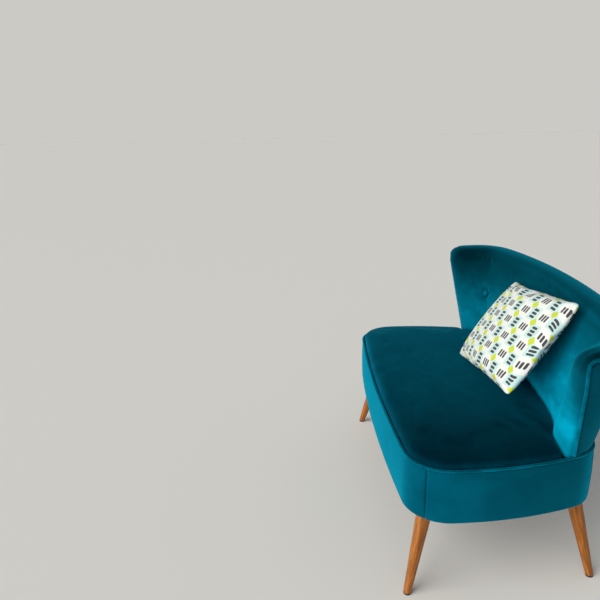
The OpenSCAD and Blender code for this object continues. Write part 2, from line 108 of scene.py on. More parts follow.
def srgb(hex_colour: str) -> Colour:
    """Turns an sRGB colour into the linear one that a shader takes.

    Args:
        hex_colour: six hex digits after a hash sign.

    Returns:
        Red, green, blue and an alpha of one.
    """
    parts = [int(hex_colour[i : i + 2], 16) / 255 for i in (1, 3, 5)]
    return (*(c / 12.92 if c <= 0.04045 else ((c + 0.055) / 1.055) ** 2.4 for c in parts), 1.0)


def smooth_step(value: np.ndarray | float, low: float, high: float) -> np.ndarray | float:
    """Rises smoothly from 0 at low to 1 at high."""
    t = np.clip((value - low) / (high - low), 0.0, 1.0)
    return t * t * (3 - 2 * t)


# Finishes


class Shader:
    """The nodes of a material or of the world, built one at a time.

    Attributes:
        owner: the material or the world that is built.
        tree: its node tree.
    """

    def __init__(self, name: str, kinds: Any = None) -> None:
        """Starts a material, or a world.

        Args:
            name: its name.
            kinds: the collection that it goes into, where it isn't a material.
        """
        self.owner = (bpy.data.materials if kinds is None else kinds).new(name)
        self.owner.use_nodes = True
        self.tree = self.owner.node_tree

    def add(
        self,
        kind: str,
        settings: dict[str, Any] | None = None,
        inputs: dict[str | int, Any] | Sequence[Any] = (),
    ) -> bpy.types.Node:
        """Adds a node with its settings and links.

        Args:
            kind: the node's type, without the words that all types start with.
            settings: the node's own properties.
            inputs: values, sockets or nodes for its inputs, by name or in order.

        Returns:
            The new node.
        """
        node = self.tree.nodes.new("ShaderNode" + kind)
        for name, value in (settings or {}).items():
            setattr(node, name, value)
        pairs = inputs.items() if isinstance(inputs, dict) else enumerate(inputs)
        for key, value in pairs:
            self.join(node.inputs[key], value)
        return node

    def join(self, socket: bpy.types.NodeSocket, value: Any) -> None:
        """Links an input, or sets its value.

        Args:
            socket: the input.
            value: an output, a node whose first output is meant, or a plain value.
        """
        if isinstance(value, bpy.types.Node):
            value = value.outputs[0]
        if isinstance(value, bpy.types.NodeSocket):
            self.tree.links.new(value, socket)
        else:
            socket.default_value = value

    def finish(self, values: dict[str, Any]) -> bpy.types.Material:
        """Sets the inputs of the material's Principled shader.

        Args:
            values: values, sockets or nodes, by the inputs' names.

        Returns:
            The finished material.
        """
        surface = self.tree.nodes["Principled BSDF"]
        for name, value in values.items():
            self.join(surface.inputs[name], value)
        return self.owner


@dataclass(frozen=True)
class PaintedShading:
    """A slow change of lightness across a piece, as painted light and shade and its pile's lay.

    Attributes:
        way: direction in which it runs.
        start: distance from the sofa's origin at which it starts, in metres.
        end: distance at which it ends.
        share: share of the lightness that is left there; more than one is lighter.
    """

    way: tuple[float, float, float]
    start: float
    end: float
    share: float


@dataclass(frozen=True)
class Velvet:
    """Short cut-pile polyester velvet, woven and sheared.

    The pile is darkest face on and blooms where the surface turns away. Each piece takes its own
    lighter or darker copy, for the way its pile lies and as painted light and shade.

    Attributes:
        name: the material's name.
        deep: its colour where the pile stands towards the eye.
        brushed: its colour where the pile is brushed flat.
        bloom: the colour of its sheen.
        bloom_weight: how strong that sheen is.
        brush_mm: width of its soft patches, in millimetres.
        brush_depth: how far a patch goes towards the brushed colour.
        painted_top_shade: share of its lightness left where the pile points upwards, as painted shade.
        pile_mm: size of the tufts, in millimetres.
        painted_shading: slow changes of its lightness, as painted light and shade.
    """

    name: str
    deep: str
    brushed: str
    bloom: str = "#0CC2E8"
    bloom_weight: float = 0.5
    brush_mm: float = 385.0
    brush_depth: float = 0.8
    painted_top_shade: float = 0.45
    pile_mm: float = 1.5
    painted_shading: tuple[PaintedShading, ...] = ()

    def build(self) -> bpy.types.Material:
        """Makes the velvet.

        Returns:
            The material.
        """
        s = Shader(self.name)
        place = s.add("TexCoord").outputs["Object"]
        stretched = s.add("Mapping", inputs={"Vector": place, "Scale": (0.8, 1.2, 1.6)})
        patches = s.add(
            "TexNoise",
            inputs={"Vector": stretched, "Scale": 1 / (self.brush_mm * MM), "Detail": 2.0,
                    "Roughness": 0.4, "Distortion": 0.6},
        )
        strokes = s.add(
            "TexNoise",
            inputs={"Vector": stretched, "Scale": 5 / (self.brush_mm * MM), "Detail": 3.0,
                    "Roughness": 0.5, "Distortion": 1.2},
        )
        both = s.add("Math", {"operation": "MULTIPLY"}, [strokes.outputs["Fac"], 0.3])
        both = s.add("Math", {"operation": "MULTIPLY_ADD"}, [patches.outputs["Fac"], 0.7, both])
        lay = s.add(
            "MapRange",
            {"interpolation_type": "SMOOTHSTEP"},
            {"Value": both, "From Min": 0.36, "From Max": 0.66, "To Max": self.brush_depth},
        )
        # Single tufts are under a fifth of a millimetre, so they're drawn coarser to show at all.
        tufts = s.add(
            "TexNoise",
            inputs={"Vector": place, "Scale": 1 / (self.pile_mm * MM), "Detail": 2.0},
        )
        speck = s.add("MapRange", inputs={"Value": tufts.outputs["Fac"], "To Min": -0.1, "To Max": 0.1})
        share = s.add("Math", {"operation": "ADD", "use_clamp": True}, [lay, speck])
        lying = s.add(
            "Mix",
            {"data_type": "RGBA"},
            {"Factor": share, 6: srgb(self.deep), 7: srgb(self.brushed)},
        )
        # Faces that point upwards are darkened as painted shade, which also stands for
        # the dark tips of tufts that point upwards along a crest.
        facing = s.add("SeparateXYZ", inputs=[s.add("TexCoord").outputs["Normal"]])
        left = s.add(
            "MapRange",
            {"interpolation_type": "SMOOTHSTEP"},
            {"Value": facing.outputs["Z"], "From Min": 0.3, "From Max": 0.95,
             "To Min": 1.0, "To Max": self.painted_top_shade},
        )
        # Slow bands of painted light and shade lighten or darken the piece.
        for drift in self.painted_shading:
            along = s.add("VectorMath", {"operation": "DOT_PRODUCT"}, [place, drift.way])
            changed = s.add(
                "MapRange",
                {"interpolation_type": "SMOOTHSTEP"},
                {"Value": along.outputs["Value"], "From Min": drift.start, "From Max": drift.end,
                 "To Min": 1.0, "To Max": drift.share},
            )
            left = s.add("Math", {"operation": "MULTIPLY"}, [left, changed])
        colour = s.add("VectorMath", {"operation": "SCALE"}, {"Vector": lying.outputs[2], "Scale": left})
        rolling = s.add("Bump", inputs={"Strength": 0.2, "Distance": 3 * MM, "Height": both})
        grain = s.add(
            "Bump",
            inputs={"Strength": 0.25, "Distance": 0.5 * MM, "Height": tufts.outputs["Fac"],
                    "Normal": rolling},
        )
        rough = s.add("MapRange", inputs={"Value": share, "To Min": 0.9, "To Max": 0.7})
        return s.finish({
            "Base Color": colour,
            "Roughness": rough,
            "IOR": 1.45,
            "Specular IOR Level": 0.02,
            # Dyed fibres tint the light that they reflect.
            "Specular Tint": srgb(self.bloom),
            "Sheen Weight": self.bloom_weight,
            "Sheen Roughness": 0.5,
            "Sheen Tint": srgb(self.bloom),
            "Normal": grain,
        })


@dataclass(frozen=True)
class StainedBeech:
    """Turned beech, stained a warm orange-brown and sealed with satin lacquer.

    The grain runs down the leg in fine lines, with the short dark flecks that beech has.

    Attributes:
        name: the material's name.
        top: the middle of the leg's upper end.
        foot: the middle of its lower end.
        pale: its colour between the lines of the grain.
        dark: its colour along them.
        fleck: the colour of its flecks.
        ring_mm: width of the lines, in millimetres.
        fleck_mm: width of a fleck and of the wood beside it.
    """

    name: str
    top: tuple[float, float, float]
    foot: tuple[float, float, float]
    pale: str = "#B0681C"
    dark: str = "#7A4510"
    fleck: str = "#56300C"
    ring_mm: float = 5.0
    fleck_mm: float = 2.38

    def build(self) -> bpy.types.Material:
        """Makes the stained wood.

        Returns:
            The material.
        """
        s = Shader(self.name)
        along = Vector(self.top) - Vector(self.foot)
        turn = along.to_track_quat("Z", "Y").inverted().to_euler()
        place = s.add("TexCoord").outputs["Object"]
        # The pattern is turned to the leg's own axis before it is stretched along it.
        turned = s.add("Mapping", inputs={"Vector": place, "Rotation": tuple(turn)})
        long = s.add("Mapping", inputs={"Vector": turned, "Scale": (1.0, 1.0, 0.06)})
        grain = s.add(
            "TexNoise",
            inputs={"Vector": long, "Scale": 1 / (self.ring_mm * MM), "Detail": 6.0,
                    "Roughness": 0.62, "Distortion": 0.4},
        )
        streak = s.add(
            "MapRange",
            {"interpolation_type": "SMOOTHSTEP"},
            {"Value": grain.outputs["Fac"], "From Min": 0.36, "From Max": 0.66},
        )
        wood = s.add(
            "Mix",
            {"data_type": "RGBA"},
            {"Factor": streak, 6: srgb(self.dark), 7: srgb(self.pale)},
        )
        short = s.add("Mapping", inputs={"Vector": turned, "Scale": (1.0, 1.0, 0.16)})
        flecks = s.add(
            "TexVoronoi",
            {"feature": "F1"},
            {"Vector": short, "Scale": 1 / (self.fleck_mm * MM), "Randomness": 1.0},
        )
        fleck = s.add(
            "MapRange",
            {"interpolation_type": "SMOOTHSTEP"},
            {"Value": flecks.outputs["Distance"], "From Min": 0.12, "From Max": 0.24,
             "To Min": 0.55, "To Max": 0.0},
        )
        colour = s.add(
            "Mix",
            {"data_type": "RGBA"},
            {"Factor": fleck, 6: wood.outputs[2], 7: srgb(self.fleck)},
        )
        rough = s.add("MapRange", inputs={"Value": grain.outputs["Fac"], "To Min": 0.42, "To Max": 0.3})
        bump = s.add(
            "Bump",
            inputs={"Strength": 0.15, "Distance": 0.2 * MM, "Height": grain.outputs["Fac"]},
        )
        return s.finish({
            "Base Color": colour.outputs[2],
            "Roughness": rough,
            "IOR": 1.5,
            "Specular IOR Level": 0.35,
            "Coat Weight": 0.12,
            "Coat Roughness": 0.25,
            "Normal": bump,
        })


@dataclass(frozen=True)
class PrintedCotton:
    """Plain-weave cotton, printed with small bars, diamonds and squares.

    The weave gives a fine matt tooth, and the ink sits flat in it without a shine.

    Attributes:
        name: the material's name.
        ground: the colour of the cloth.
        ink: the colour of the bars.
        lime: the colour of the diamonds.
        aqua: the colour of the squares.
        cell_mm: width of one cell of the print, in millimetres.
        thread_mm: spacing of the threads.
        bar_gap: spacing of the three bars of a cell, as a share of the cell.
        bar_half: half the length of their straight part.
        bar_r: half their width.
        diamond_r: distance from a diamond's middle to its corners.
        square_r: half the width of a square.
        soft: how far the ink's edges bleed.
    """

    name: str = "printed plain-weave cotton"
    ground: str = "#E9ECE8"
    ink: str = "#4A464A"
    lime: str = "#CBD83A"
    aqua: str = "#C3E2E0"
    cell_mm: float = 50.0
    thread_mm: float = 1.4
    bar_gap: float = 0.24
    bar_half: float = 0.15
    bar_r: float = 0.08
    diamond_r: float = 0.3
    square_r: float = 0.44
    soft: float = 0.012

    def build(self) -> bpy.types.Material:
        """Makes the printed cotton.

        Returns:
            The material.
        """
        s = Shader(self.name)
        flat = s.add("UVMap", {"uv_map": "cut"})
        cells = s.add(
            "VectorMath",
            {"operation": "SCALE"},
            {"Vector": flat, "Scale": 1 / (self.cell_mm * MM)},
        )
        split = s.add("SeparateXYZ", inputs=[cells])
        found: dict[Any, Any] = {"u": split.outputs[0], "v": split.outputs[1]}
        for name, operation, *values in self.steps():
            found[name] = s.add("Math", {"operation": operation}, [found.get(v, v) for v in values])
        for name, distance, size in (
            ("bar", "to bar", self.bar_r),
            ("diamond", "to diamond", self.diamond_r),
            ("square", "to middle", self.square_r),
        ):
            found[name] = s.add(
                "MapRange",
                {"interpolation_type": "SMOOTHSTEP"},
                {"Value": found[distance], "From Min": size - self.soft,
                 "From Max": size + self.soft, "To Min": 1.0, "To Max": 0.0},
            )
        tinted = s.add("Math", {"operation": "MULTIPLY"}, [found["square"], found["odd"]])
        inked = srgb(self.ground)
        for share, colour in ((tinted, self.aqua), (found["diamond"], self.lime), (found["bar"], self.ink)):
            layer = s.add("Mix", {"data_type": "RGBA"}, {"Factor": share, 6: inked, 7: srgb(colour)})
            inked = layer.outputs[2]
        # A thread is about a quarter of a millimetre, so the weave is drawn coarser to show.
        # A wave texture of scale 1 has its bands 0.314 m apart.
        threads = [
            s.add(
                "TexWave",
                {"bands_direction": way, "wave_profile": "SIN"},
                {"Vector": flat, "Scale": 0.314 / (self.thread_mm * MM), "Distortion": 1.5, "Detail": 2.0},
            )
            for way in ("X", "Y")
        ]
        weave = s.add("Math", {"operation": "MULTIPLY"}, [wave.outputs["Fac"] for wave in threads])
        shade = s.add("MapRange", inputs={"Value": weave, "To Min": 0.9, "To Max": 1.0})
        cloth = s.add("VectorMath", {"operation": "SCALE"}, {"Vector": inked, "Scale": shade})
        bump = s.add("Bump", inputs={"Strength": 0.25, "Distance": 0.3 * MM, "Height": weave})
        return s.finish({
            "Base Color": cloth,
            "Roughness": 0.88,
            "IOR": 1.45,
            "Specular IOR Level": 0.2,
            "Sheen Weight": 0.1,
            "Sheen Roughness": 0.5,
            "Normal": bump,
        })

    def steps(self) -> tuple[tuple[Any, ...], ...]:
        """Lists the arithmetic of the print.

        Returns:
            For each step its name, its operation and its values, which are numbers or the names
            of earlier steps. All lengths are shares of a cell.
        """
        return (
            ("column", "FLOOR", "u"),
            ("row", "FLOOR", "v"),
            ("right", "FRACT", "u"),
            ("up", "FRACT", "v"),
            ("x", "SUBTRACT", "right", 0.5),
            ("y", "SUBTRACT", "up", 0.5),
            ("cell", "ADD", "column", "row"),
            ("odd", "FLOORED_MODULO", "cell", 2.0),
            # Every other cell is turned a quarter, so the sets of bars weave like a basket.
            ("y less x", "SUBTRACT", "y", "x"),
            ("x less y", "SUBTRACT", "x", "y"),
            ("across", "MULTIPLY_ADD", "odd", "y less x", "x"),
            ("along", "MULTIPLY_ADD", "odd", "x less y", "y"),
            # This is the distance to the nearest of a cell's three bars, which have round ends.
            ("aside", "ABSOLUTE", "across"),
            ("past next", "SUBTRACT", "aside", self.bar_gap),
            ("outer", "ABSOLUTE", "past next"),
            ("beside", "MINIMUM", "aside", "outer"),
            ("lengthways", "ABSOLUTE", "along"),
            ("past end", "SUBTRACT", "lengthways", self.bar_half),
            ("beyond", "MAXIMUM", "past end", 0.0),
            ("beside squared", "POWER", "beside", 2.0),
            ("beyond squared", "POWER", "beyond", 2.0),
            ("squares", "ADD", "beside squared", "beyond squared"),
            ("to bar", "SQRT", "squares"),
            # Diamonds stand on every other corner of the cells, and squares fill the odd cells.
            ("x out", "ABSOLUTE", "x"),
            ("y out", "ABSOLUTE", "y"),
            ("corner x", "SUBTRACT", 0.5, "x out"),
            ("corner y", "SUBTRACT", 0.5, "y out"),
            ("corner", "ADD", "corner x", "corner y"),
            ("upright", "ROUND", "u"),
            ("level", "ROUND", "v"),
            ("crossing", "ADD", "upright", "level"),
            ("bare", "FLOORED_MODULO", "crossing", 2.0),
            ("to diamond", "ADD", "corner", "bare"),
            ("to middle", "MAXIMUM", "x out", "y out"),
        )


@dataclass(frozen=True)
class BondedCloth:
    """Black non-woven polypropylene, bonded at small dots, as under most sofas.

    Attributes:
        name: the material's name.
        colour: its colour.
        dot: its colour where it is bonded.
        dot_mm: spacing of the dots, in millimetres.
        clump_mm: width of the clumps in which its fibres lie.
    """

    name: str = "spun-bonded lining cloth"
    colour: str = "#161617"
    dot: str = "#26272A"
    dot_mm: float = 2.5
    clump_mm: float = 3.85

    def build(self) -> bpy.types.Material:
        """Makes the lining cloth.

        Returns:
            The material.
        """
        s = Shader(self.name)
        place = s.add("TexCoord").outputs["Object"]
        dots = s.add(
            "TexVoronoi",
            {"voronoi_dimensions": "2D", "feature": "F1"},
            {"Vector": place, "Scale": 1 / (self.dot_mm * MM), "Randomness": 0.0},
        )
        mask = s.add(
            "MapRange",
            inputs={"Value": dots.outputs["Distance"], "From Min": 0.18, "From Max": 0.3,
                    "To Min": 1.0, "To Max": 0.0},
        )
        # Single fibres are far too fine to show, so only their clumps are drawn.
        fibres = s.add(
            "TexNoise",
            inputs={"Vector": place, "Scale": 1 / (self.clump_mm * MM), "Detail": 5.0, "Distortion": 1.0},
        )
        share = s.add("Math", {"operation": "MULTIPLY_ADD"}, [fibres.outputs["Fac"], 0.5, mask])
        colour = s.add(
            "Mix",
            {"data_type": "RGBA"},
            {"Factor": share, 6: srgb(self.colour), 7: srgb(self.dot)},
        )
        bump = s.add("Bump", {"invert": True}, {"Strength": 0.4, "Distance": 0.2 * MM, "Height": mask})
        return s.finish({
            "Base Color": colour.outputs[2],
            "Roughness": 0.8,
            "IOR": 1.49,
            "Specular IOR Level": 0.3,
            "Normal": bump,
        })


@dataclass(frozen=True)
class FeltedFrameDarkAsShade:
    """The seat's timber under a glued layer of needled charcoal felt, kept dark as painted shade.

    Attributes:
        name: the material's name.
        dark: its colour between the fibres.
        pale: its colour on them.
        clump_mm: width of the clumps in which its fibres lie, in millimetres.
    """

    name: str = "needled charcoal felt over timber, dark as painted shade"
    dark: str = "#131619"
    pale: str = "#24292C"
    clump_mm: float = 2.38

    def build(self) -> bpy.types.Material:
        """Makes the felt.

        Returns:
            The material.
        """
        s = Shader(self.name)
        place = s.add("TexCoord").outputs["Object"]
        fibres = s.add(
            "TexNoise",
            inputs={"Vector": place, "Scale": 1 / (self.clump_mm * MM), "Detail": 6.0, "Distortion": 1.5},
        )
        colour = s.add(
            "Mix",
            {"data_type": "RGBA"},
            {"Factor": fibres.outputs["Fac"], 6: srgb(self.dark), 7: srgb(self.pale)},
        )
        bump = s.add(
            "Bump",
            inputs={"Strength": 0.4, "Distance": 0.5 * MM, "Height": fibres.outputs["Fac"]},
        )
        return s.finish({
            "Base Color": colour.outputs[2],
            "Roughness": 0.95,
            "IOR": 1.45,
            "Specular IOR Level": 0.1,
            "Normal": bump,
        })


@dataclass(frozen=True)
class ZincSteel:
    """Pressed steel with a dull zinc plating, faintly mottled where the plating crystallised.

    Attributes:
        name: the material's name.
        colour: its colour in the middle of a crystal.
        spangle: its colour where the crystals meet.
        spangle_mm: width of a crystal, in millimetres.
    """

    name: str = "zinc-plated pressed steel"
    colour: str = "#B4B7B8"
    spangle: str = "#9A9EA1"
    spangle_mm: float = 4.17

    def build(self) -> bpy.types.Material:
        """Makes the plated steel.

        Returns:
            The material.
        """
        s = Shader(self.name)
        place = s.add("TexCoord").outputs["Object"]
        cells = s.add(
            "TexVoronoi",
            {"feature": "F1"},
            {"Vector": place, "Scale": 1 / (self.spangle_mm * MM)},
        )
        colour = s.add(
            "Mix",
            {"data_type": "RGBA"},
            {"Factor": cells.outputs["Distance"], 6: srgb(self.colour), 7: srgb(self.spangle)},
        )
        rough = s.add(
            "MapRange",
            inputs={"Value": cells.outputs["Distance"], "To Min": 0.32, "To Max": 0.46},
        )
        return s.finish({"Base Color": colour.outputs[2], "Metallic": 1.0, "Roughness": rough})


@dataclass(frozen=True)
class MouldedNylon:
    """Injection-moulded nylon with a fine spark-eroded texture, scuffed a little by the floor.

    Attributes:
        name: the material's name.
        colour: its colour.
        scuffed: its colour where it is scuffed.
        scuff_mm: width of the scuffs, in millimetres.
    """

    name: str = "moulded nylon"
    colour: str = "#1B1A19"
    scuffed: str = "#3A3836"
    scuff_mm: float = 6.25

    def build(self) -> bpy.types.Material:
        """Makes the nylon.

        Returns:
            The material.
        """
        s = Shader(self.name)
        place = s.add("TexCoord").outputs["Object"]
        scuffs = s.add(
            "TexNoise",
            inputs={"Vector": place, "Scale": 1 / (self.scuff_mm * MM), "Detail": 6.0, "Roughness": 0.7},
        )
        mask = s.add(
            "MapRange",
            inputs={"Value": scuffs.outputs["Fac"], "From Min": 0.5, "From Max": 0.75, "To Max": 0.7},
        )
        colour = s.add(
            "Mix",
            {"data_type": "RGBA"},
            {"Factor": mask, 6: srgb(self.colour), 7: srgb(self.scuffed)},
        )
        rough = s.add("MapRange", inputs={"Value": mask, "To Min": 0.4, "To Max": 0.6})
        bump = s.add(
            "Bump",
            inputs={"Strength": 0.1, "Distance": 0.1 * MM, "Height": scuffs.outputs["Fac"]},
        )
        return s.finish({
            "Base Color": colour.outputs[2],
            "Roughness": rough,
            "IOR": 1.53,
            "Normal": bump,
        })


# Tools


def pick(*objects: bpy.types.Object) -> bpy.types.Object:
    """Selects only these objects and makes the last one active.

    Args:
        objects: the objects.

    Returns:
        The last one.
    """
    if bpy.context.object and bpy.context.object.mode != "OBJECT":
        bpy.ops.object.mode_set(mode="OBJECT")
    bpy.ops.object.select_all(action="DESELECT")
    for obj in objects:
        obj.select_set(True)
    bpy.context.view_layer.objects.active = objects[-1]
    return objects[-1]


@contextmanager
def editing(obj: bpy.types.Object) -> Iterator[bpy.types.Object]:
    """Opens a mesh for editing with nothing selected, and closes it afterwards.

    Args:
        obj: the mesh object.

    Yields:
        The same object, in edit mode.
    """
    pick(obj)
    bpy.ops.object.mode_set(mode="EDIT")
    bpy.ops.mesh.select_mode(type="FACE")
    bpy.ops.mesh.select_all(action="DESELECT")
    yield obj
    bpy.ops.object.mode_set(mode="OBJECT")


def select_where(obj: bpy.types.Object, kind: str, test: Callable[[Any], bool]) -> None:
    """Selects the elements of the mesh under edit that pass a test, and no others.

    Args:
        obj: the mesh object in edit mode.
        kind: verts, edges or faces.
        test: says of one element whether it is selected.
    """
    bpy.ops.mesh.select_all(action="DESELECT")
    mesh = bmesh.from_edit_mesh(obj.data)
    for element in [e for e in getattr(mesh, kind) if test(e)]:
        element.select_set(True)
    mesh.select_flush_mode()
    bmesh.update_edit_mesh(obj.data)


def round_edge(obj: bpy.types.Object, height: float, width: float, segments: int) -> None:
    """Rounds the edges that lie at one height of the mesh under edit."""
    select_where(obj, "edges", lambda e: all(abs(v.co.z - height) < LEVEL for v in e.verts))
    bpy.ops.mesh.bevel(offset=width, segments=segments)


def primitive(add: Callable[..., Any], name: str, **settings: Any) -> bpy.types.Object:
    """Adds one of Blender's primitives, with its place put into its mesh.

    Args:
        add: the operator that adds it.
        name: the new object's name.
        settings: the operator's settings.

    Returns:
        The new object, at the origin.
    """
    bpy.ops.object.select_all(action="DESELECT")
    add(**settings)
    obj = bpy.context.object
    obj.name = obj.data.name = name
    bpy.ops.object.transform_apply(location=True, rotation=True, scale=True)
    return obj


def modified(obj: bpy.types.Object, kind: str, **settings: Any) -> bpy.types.Object:
    """Adds a modifier and applies it.

    Args:
        obj: the mesh object.
        kind: the modifier's type.
        settings: its settings.

    Returns:
        The same object.
    """
    pick(obj)
    modifier = obj.modifiers.new(kind.lower(), kind)
    for name, value in settings.items():
        setattr(modifier, name, value)
    bpy.ops.object.modifier_apply(modifier=modifier.name)
    return obj


def smoothed(obj: bpy.types.Object, angle: float | None = None) -> bpy.types.Object:
    """Shades a piece smooth.

    Args:
        obj: the piece.
        angle: faces that meet at more than this stay sharp; none do where it isn't given.

    Returns:
        The same object.
    """
    pick(obj)
    if angle is None:
        bpy.ops.object.shade_smooth()
    else:
        bpy.ops.object.shade_smooth_by_angle(angle=angle)
    return obj


def square_up(bend: float, skew: float) -> None:
    """Joins the triangles of the mesh under edit in pairs, and leaves all of it selected.

    Args:
        bend: angle up to which two triangles may meet, in degrees.
        skew: how far the corners of a pair may be from square, in degrees.
    """
    bpy.ops.mesh.select_all(action="SELECT")
    bpy.ops.mesh.tris_convert_to_quads(
        face_threshold=math.radians(bend), shape_threshold=math.radians(skew)
    )


def copy_of(node: str, name: str) -> bpy.types.Object:
    """Copies a CAD node's mesh into a new object, welded and with its own normals.

    Args:
        node: the CAD node.
        name: the new object's name.

    Returns:
        The new object, at the origin.
    """
    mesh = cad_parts[node].data.copy()
    mesh.name = name
    mesh.materials.clear()
    obj = bpy.data.objects.new(name, mesh)
    bpy.context.scene.collection.objects.link(obj)
    pick(obj)
    if mesh.has_custom_normals:
        bpy.ops.mesh.customdata_custom_splitnormals_clear()
    with editing(obj):
        bpy.ops.mesh.select_all(action="SELECT")
        bpy.ops.mesh.remove_doubles(threshold=WELD)
        bpy.ops.mesh.mark_sharp(clear=True)
    return obj


def points_of(obj: bpy.types.Object, kind: str = "co") -> np.ndarray:
    """Reads the points of a mesh.

    Args:
        obj: the mesh object.
        kind: co for their places, or normal for their normals.

    Returns:
        One row for each point.
    """
    found = np.empty(len(obj.data.vertices) * 3, np.float64)
    obj.data.vertices.foreach_get(kind, found)
    return found.reshape(-1, 3)


def move_points(obj: bpy.types.Object, points: np.ndarray) -> None:
    """Puts a mesh's points in new places."""
    obj.data.vertices.foreach_set("co", points.astype(np.float32).ravel())
    obj.data.update()


def tree_of(*nodes: str) -> BVHTree:
    """Builds a search tree over the faces of CAD nodes.

    Args:
        nodes: the CAD nodes.

    Returns:
        The tree.
    """
    points: list[Vector] = []
    faces: list[tuple[int, ...]] = []
    for node in nodes:
        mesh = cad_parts[node].data
        base = len(points)
        points += [v.co.copy() for v in mesh.vertices]
        faces += [tuple(base + i for i in p.vertices) for p in mesh.polygons]
    return BVHTree.FromPolygons(points, faces)


def distances(points: np.ndarray, tree: BVHTree, reach: float) -> np.ndarray:
    """Returns each point's distance to a surface, or reach where it is further."""
    found = (tree.find_nearest(Vector(p), reach)[3] for p in points)
    return np.array([reach if d is None else d for d in found])


def dress(
    obj: bpy.types.Object, material: bpy.types.Material, slot: Slot, *nodes: str
) -> bpy.types.Object:
    """Gives a new piece its material and its body, and hides the CAD nodes that it stands for.

    Args:
        obj: the finished piece, with its place in its mesh.
        material: its material.
        slot: the record's material slot; not used.
        nodes: the CAD nodes that it replaces.

    Returns:
        The same object.
    """
    obj.data.materials.clear()
    obj.data.materials.append(material)
    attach(obj, BODY)
    if nodes:
        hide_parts(*nodes)
    LOG.info("%s: %d faces, stands for %s", obj.name, len(obj.data.polygons), ", ".join(nodes) or "nothing")
    return obj


def repaint(node: str, material: bpy.types.Material) -> None:
    """Gives a CAD node that stays in view a better material.

    Args:
        node: the CAD node.
        material: the material.
    """
    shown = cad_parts[node]
    if not shown.material_slots:
        shown.data.materials.append(material)
    for place in shown.material_slots:
        place.material = material
    LOG.info("%s: kept, with %s", node, material.name)


def cord_along(name: str, path: Sequence[Vector], radius: float, closed: bool) -> bpy.types.Object:
    """Makes a round cord along a path as a mesh.

    Args:
        name: the object's name.
        path: points along the middle of the cord.
        radius: the cord's radius.
        closed: whether the last point joins the first.

    Returns:
        The new mesh object.
    """
    curve = bpy.data.curves.new(name, "CURVE")
    curve.dimensions = "3D"
    curve.bevel_depth = radius
    # Three steps give its round section ten sides.
    curve.bevel_resolution = 3
    curve.use_fill_caps = not closed
    spline = curve.splines.new("POLY")
    spline.points.add(len(path) - 1)
    for point, place in zip(spline.points, path):
        point.co = (*place, 1.0)
    spline.use_cyclic_u = closed
    obj = bpy.data.objects.new(name, curve)
    bpy.context.scene.collection.objects.link(obj)
    pick(obj)
    bpy.ops.object.convert(target="MESH")
    obj = bpy.context.object
    with editing(obj):
        bpy.ops.mesh.select_all(action="SELECT")
        bpy.ops.mesh.remove_doubles(threshold=WELD)
        bpy.ops.mesh.normals_make_consistent(inside=False)
        bpy.ops.mesh.faces_shade_smooth()
    return obj


def evenly(path: Sequence[Vector], step: float, closed: bool) -> list[Vector]:
    """Divides a path of points again at an even spacing, rounding it with a spline.

    Args:
        path: the points.
        step: the spacing that is wanted.
        closed: whether the path is a loop.

    Returns:
        The new points.
    """
    points = np.array([tuple(p) for p in path])
    count = len(points)
    if closed:
        points = np.vstack([points[-1], points, points[0], points[1]])
    else:
        points = np.vstack([2 * points[0] - points[1], points, 2 * points[-1] - points[-2]])
    spans = count if closed else count - 1
    fine: list[np.ndarray] = []
    for i in range(spans):
        a, b, c, d = points[i : i + 4]
        for t in np.linspace(0, 1, 8, endpoint=False):
            fine.append(0.5 * (2 * b + (c - a) * t + (2 * a - 5 * b + 4 * c - d) * t**2
                               + (3 * b - a - 3 * c + d) * t**3))
    fine.append(points[1] if closed else points[-2])
    dense = np.array(fine)
    walked = np.concatenate([[0], np.cumsum(np.linalg.norm(np.diff(dense, axis=0), axis=1))])
    pieces = max(8, round(walked[-1] / step))
    marks = np.linspace(0, walked[-1], pieces + 1)
    rows = np.stack([np.interp(marks, walked, dense[:, k]) for k in range(3)], axis=1)
    return [Vector(r) for r in (rows[:-1] if closed else rows)]


def middle_line(node: str, closed: bool) -> list[Vector]:
    """Finds the middle line of a CAD node that is a tube.

    Args:
        node: the CAD node.
        closed: whether it runs round the seat; it has two feet otherwise.

    Returns:
        The middles of its rings, from the middle of the seat's front to the right and round, or
        from its right foot to its left one.
    """
    sides = 8
    tube = copy_of(node, node + "_line")
    mesh = bmesh.new()
    mesh.from_mesh(tube.data)
    if closed:
        # The points at the middle of the front lie closest to x = 0, in front of y = 0.
        points = sorted(mesh.verts, key=lambda v: abs(v.co.x) + (1 if v.co.y > 0 else 0))
    else:
        points = sorted((v for v in mesh.verts if v.co.x > 0), key=lambda v: v.co.z)
    ring = set(points[:sides])
    seen = set(ring)
    line: list[Vector] = []
    while ring:
        in_order = sorted(ring, key=lambda v: v.index)
        line.append(sum((v.co for v in in_order), Vector()) / len(ring))
        ring = {e.other_vert(v) for v in ring for e in v.link_edges} - seen
        if closed and len(line) == 1:
            ring = {v for v in ring if v.co.x > line[0].x}
        seen |= ring
    mesh.free()
    bpy.data.objects.remove(tube)
    return line


# Padded pieces


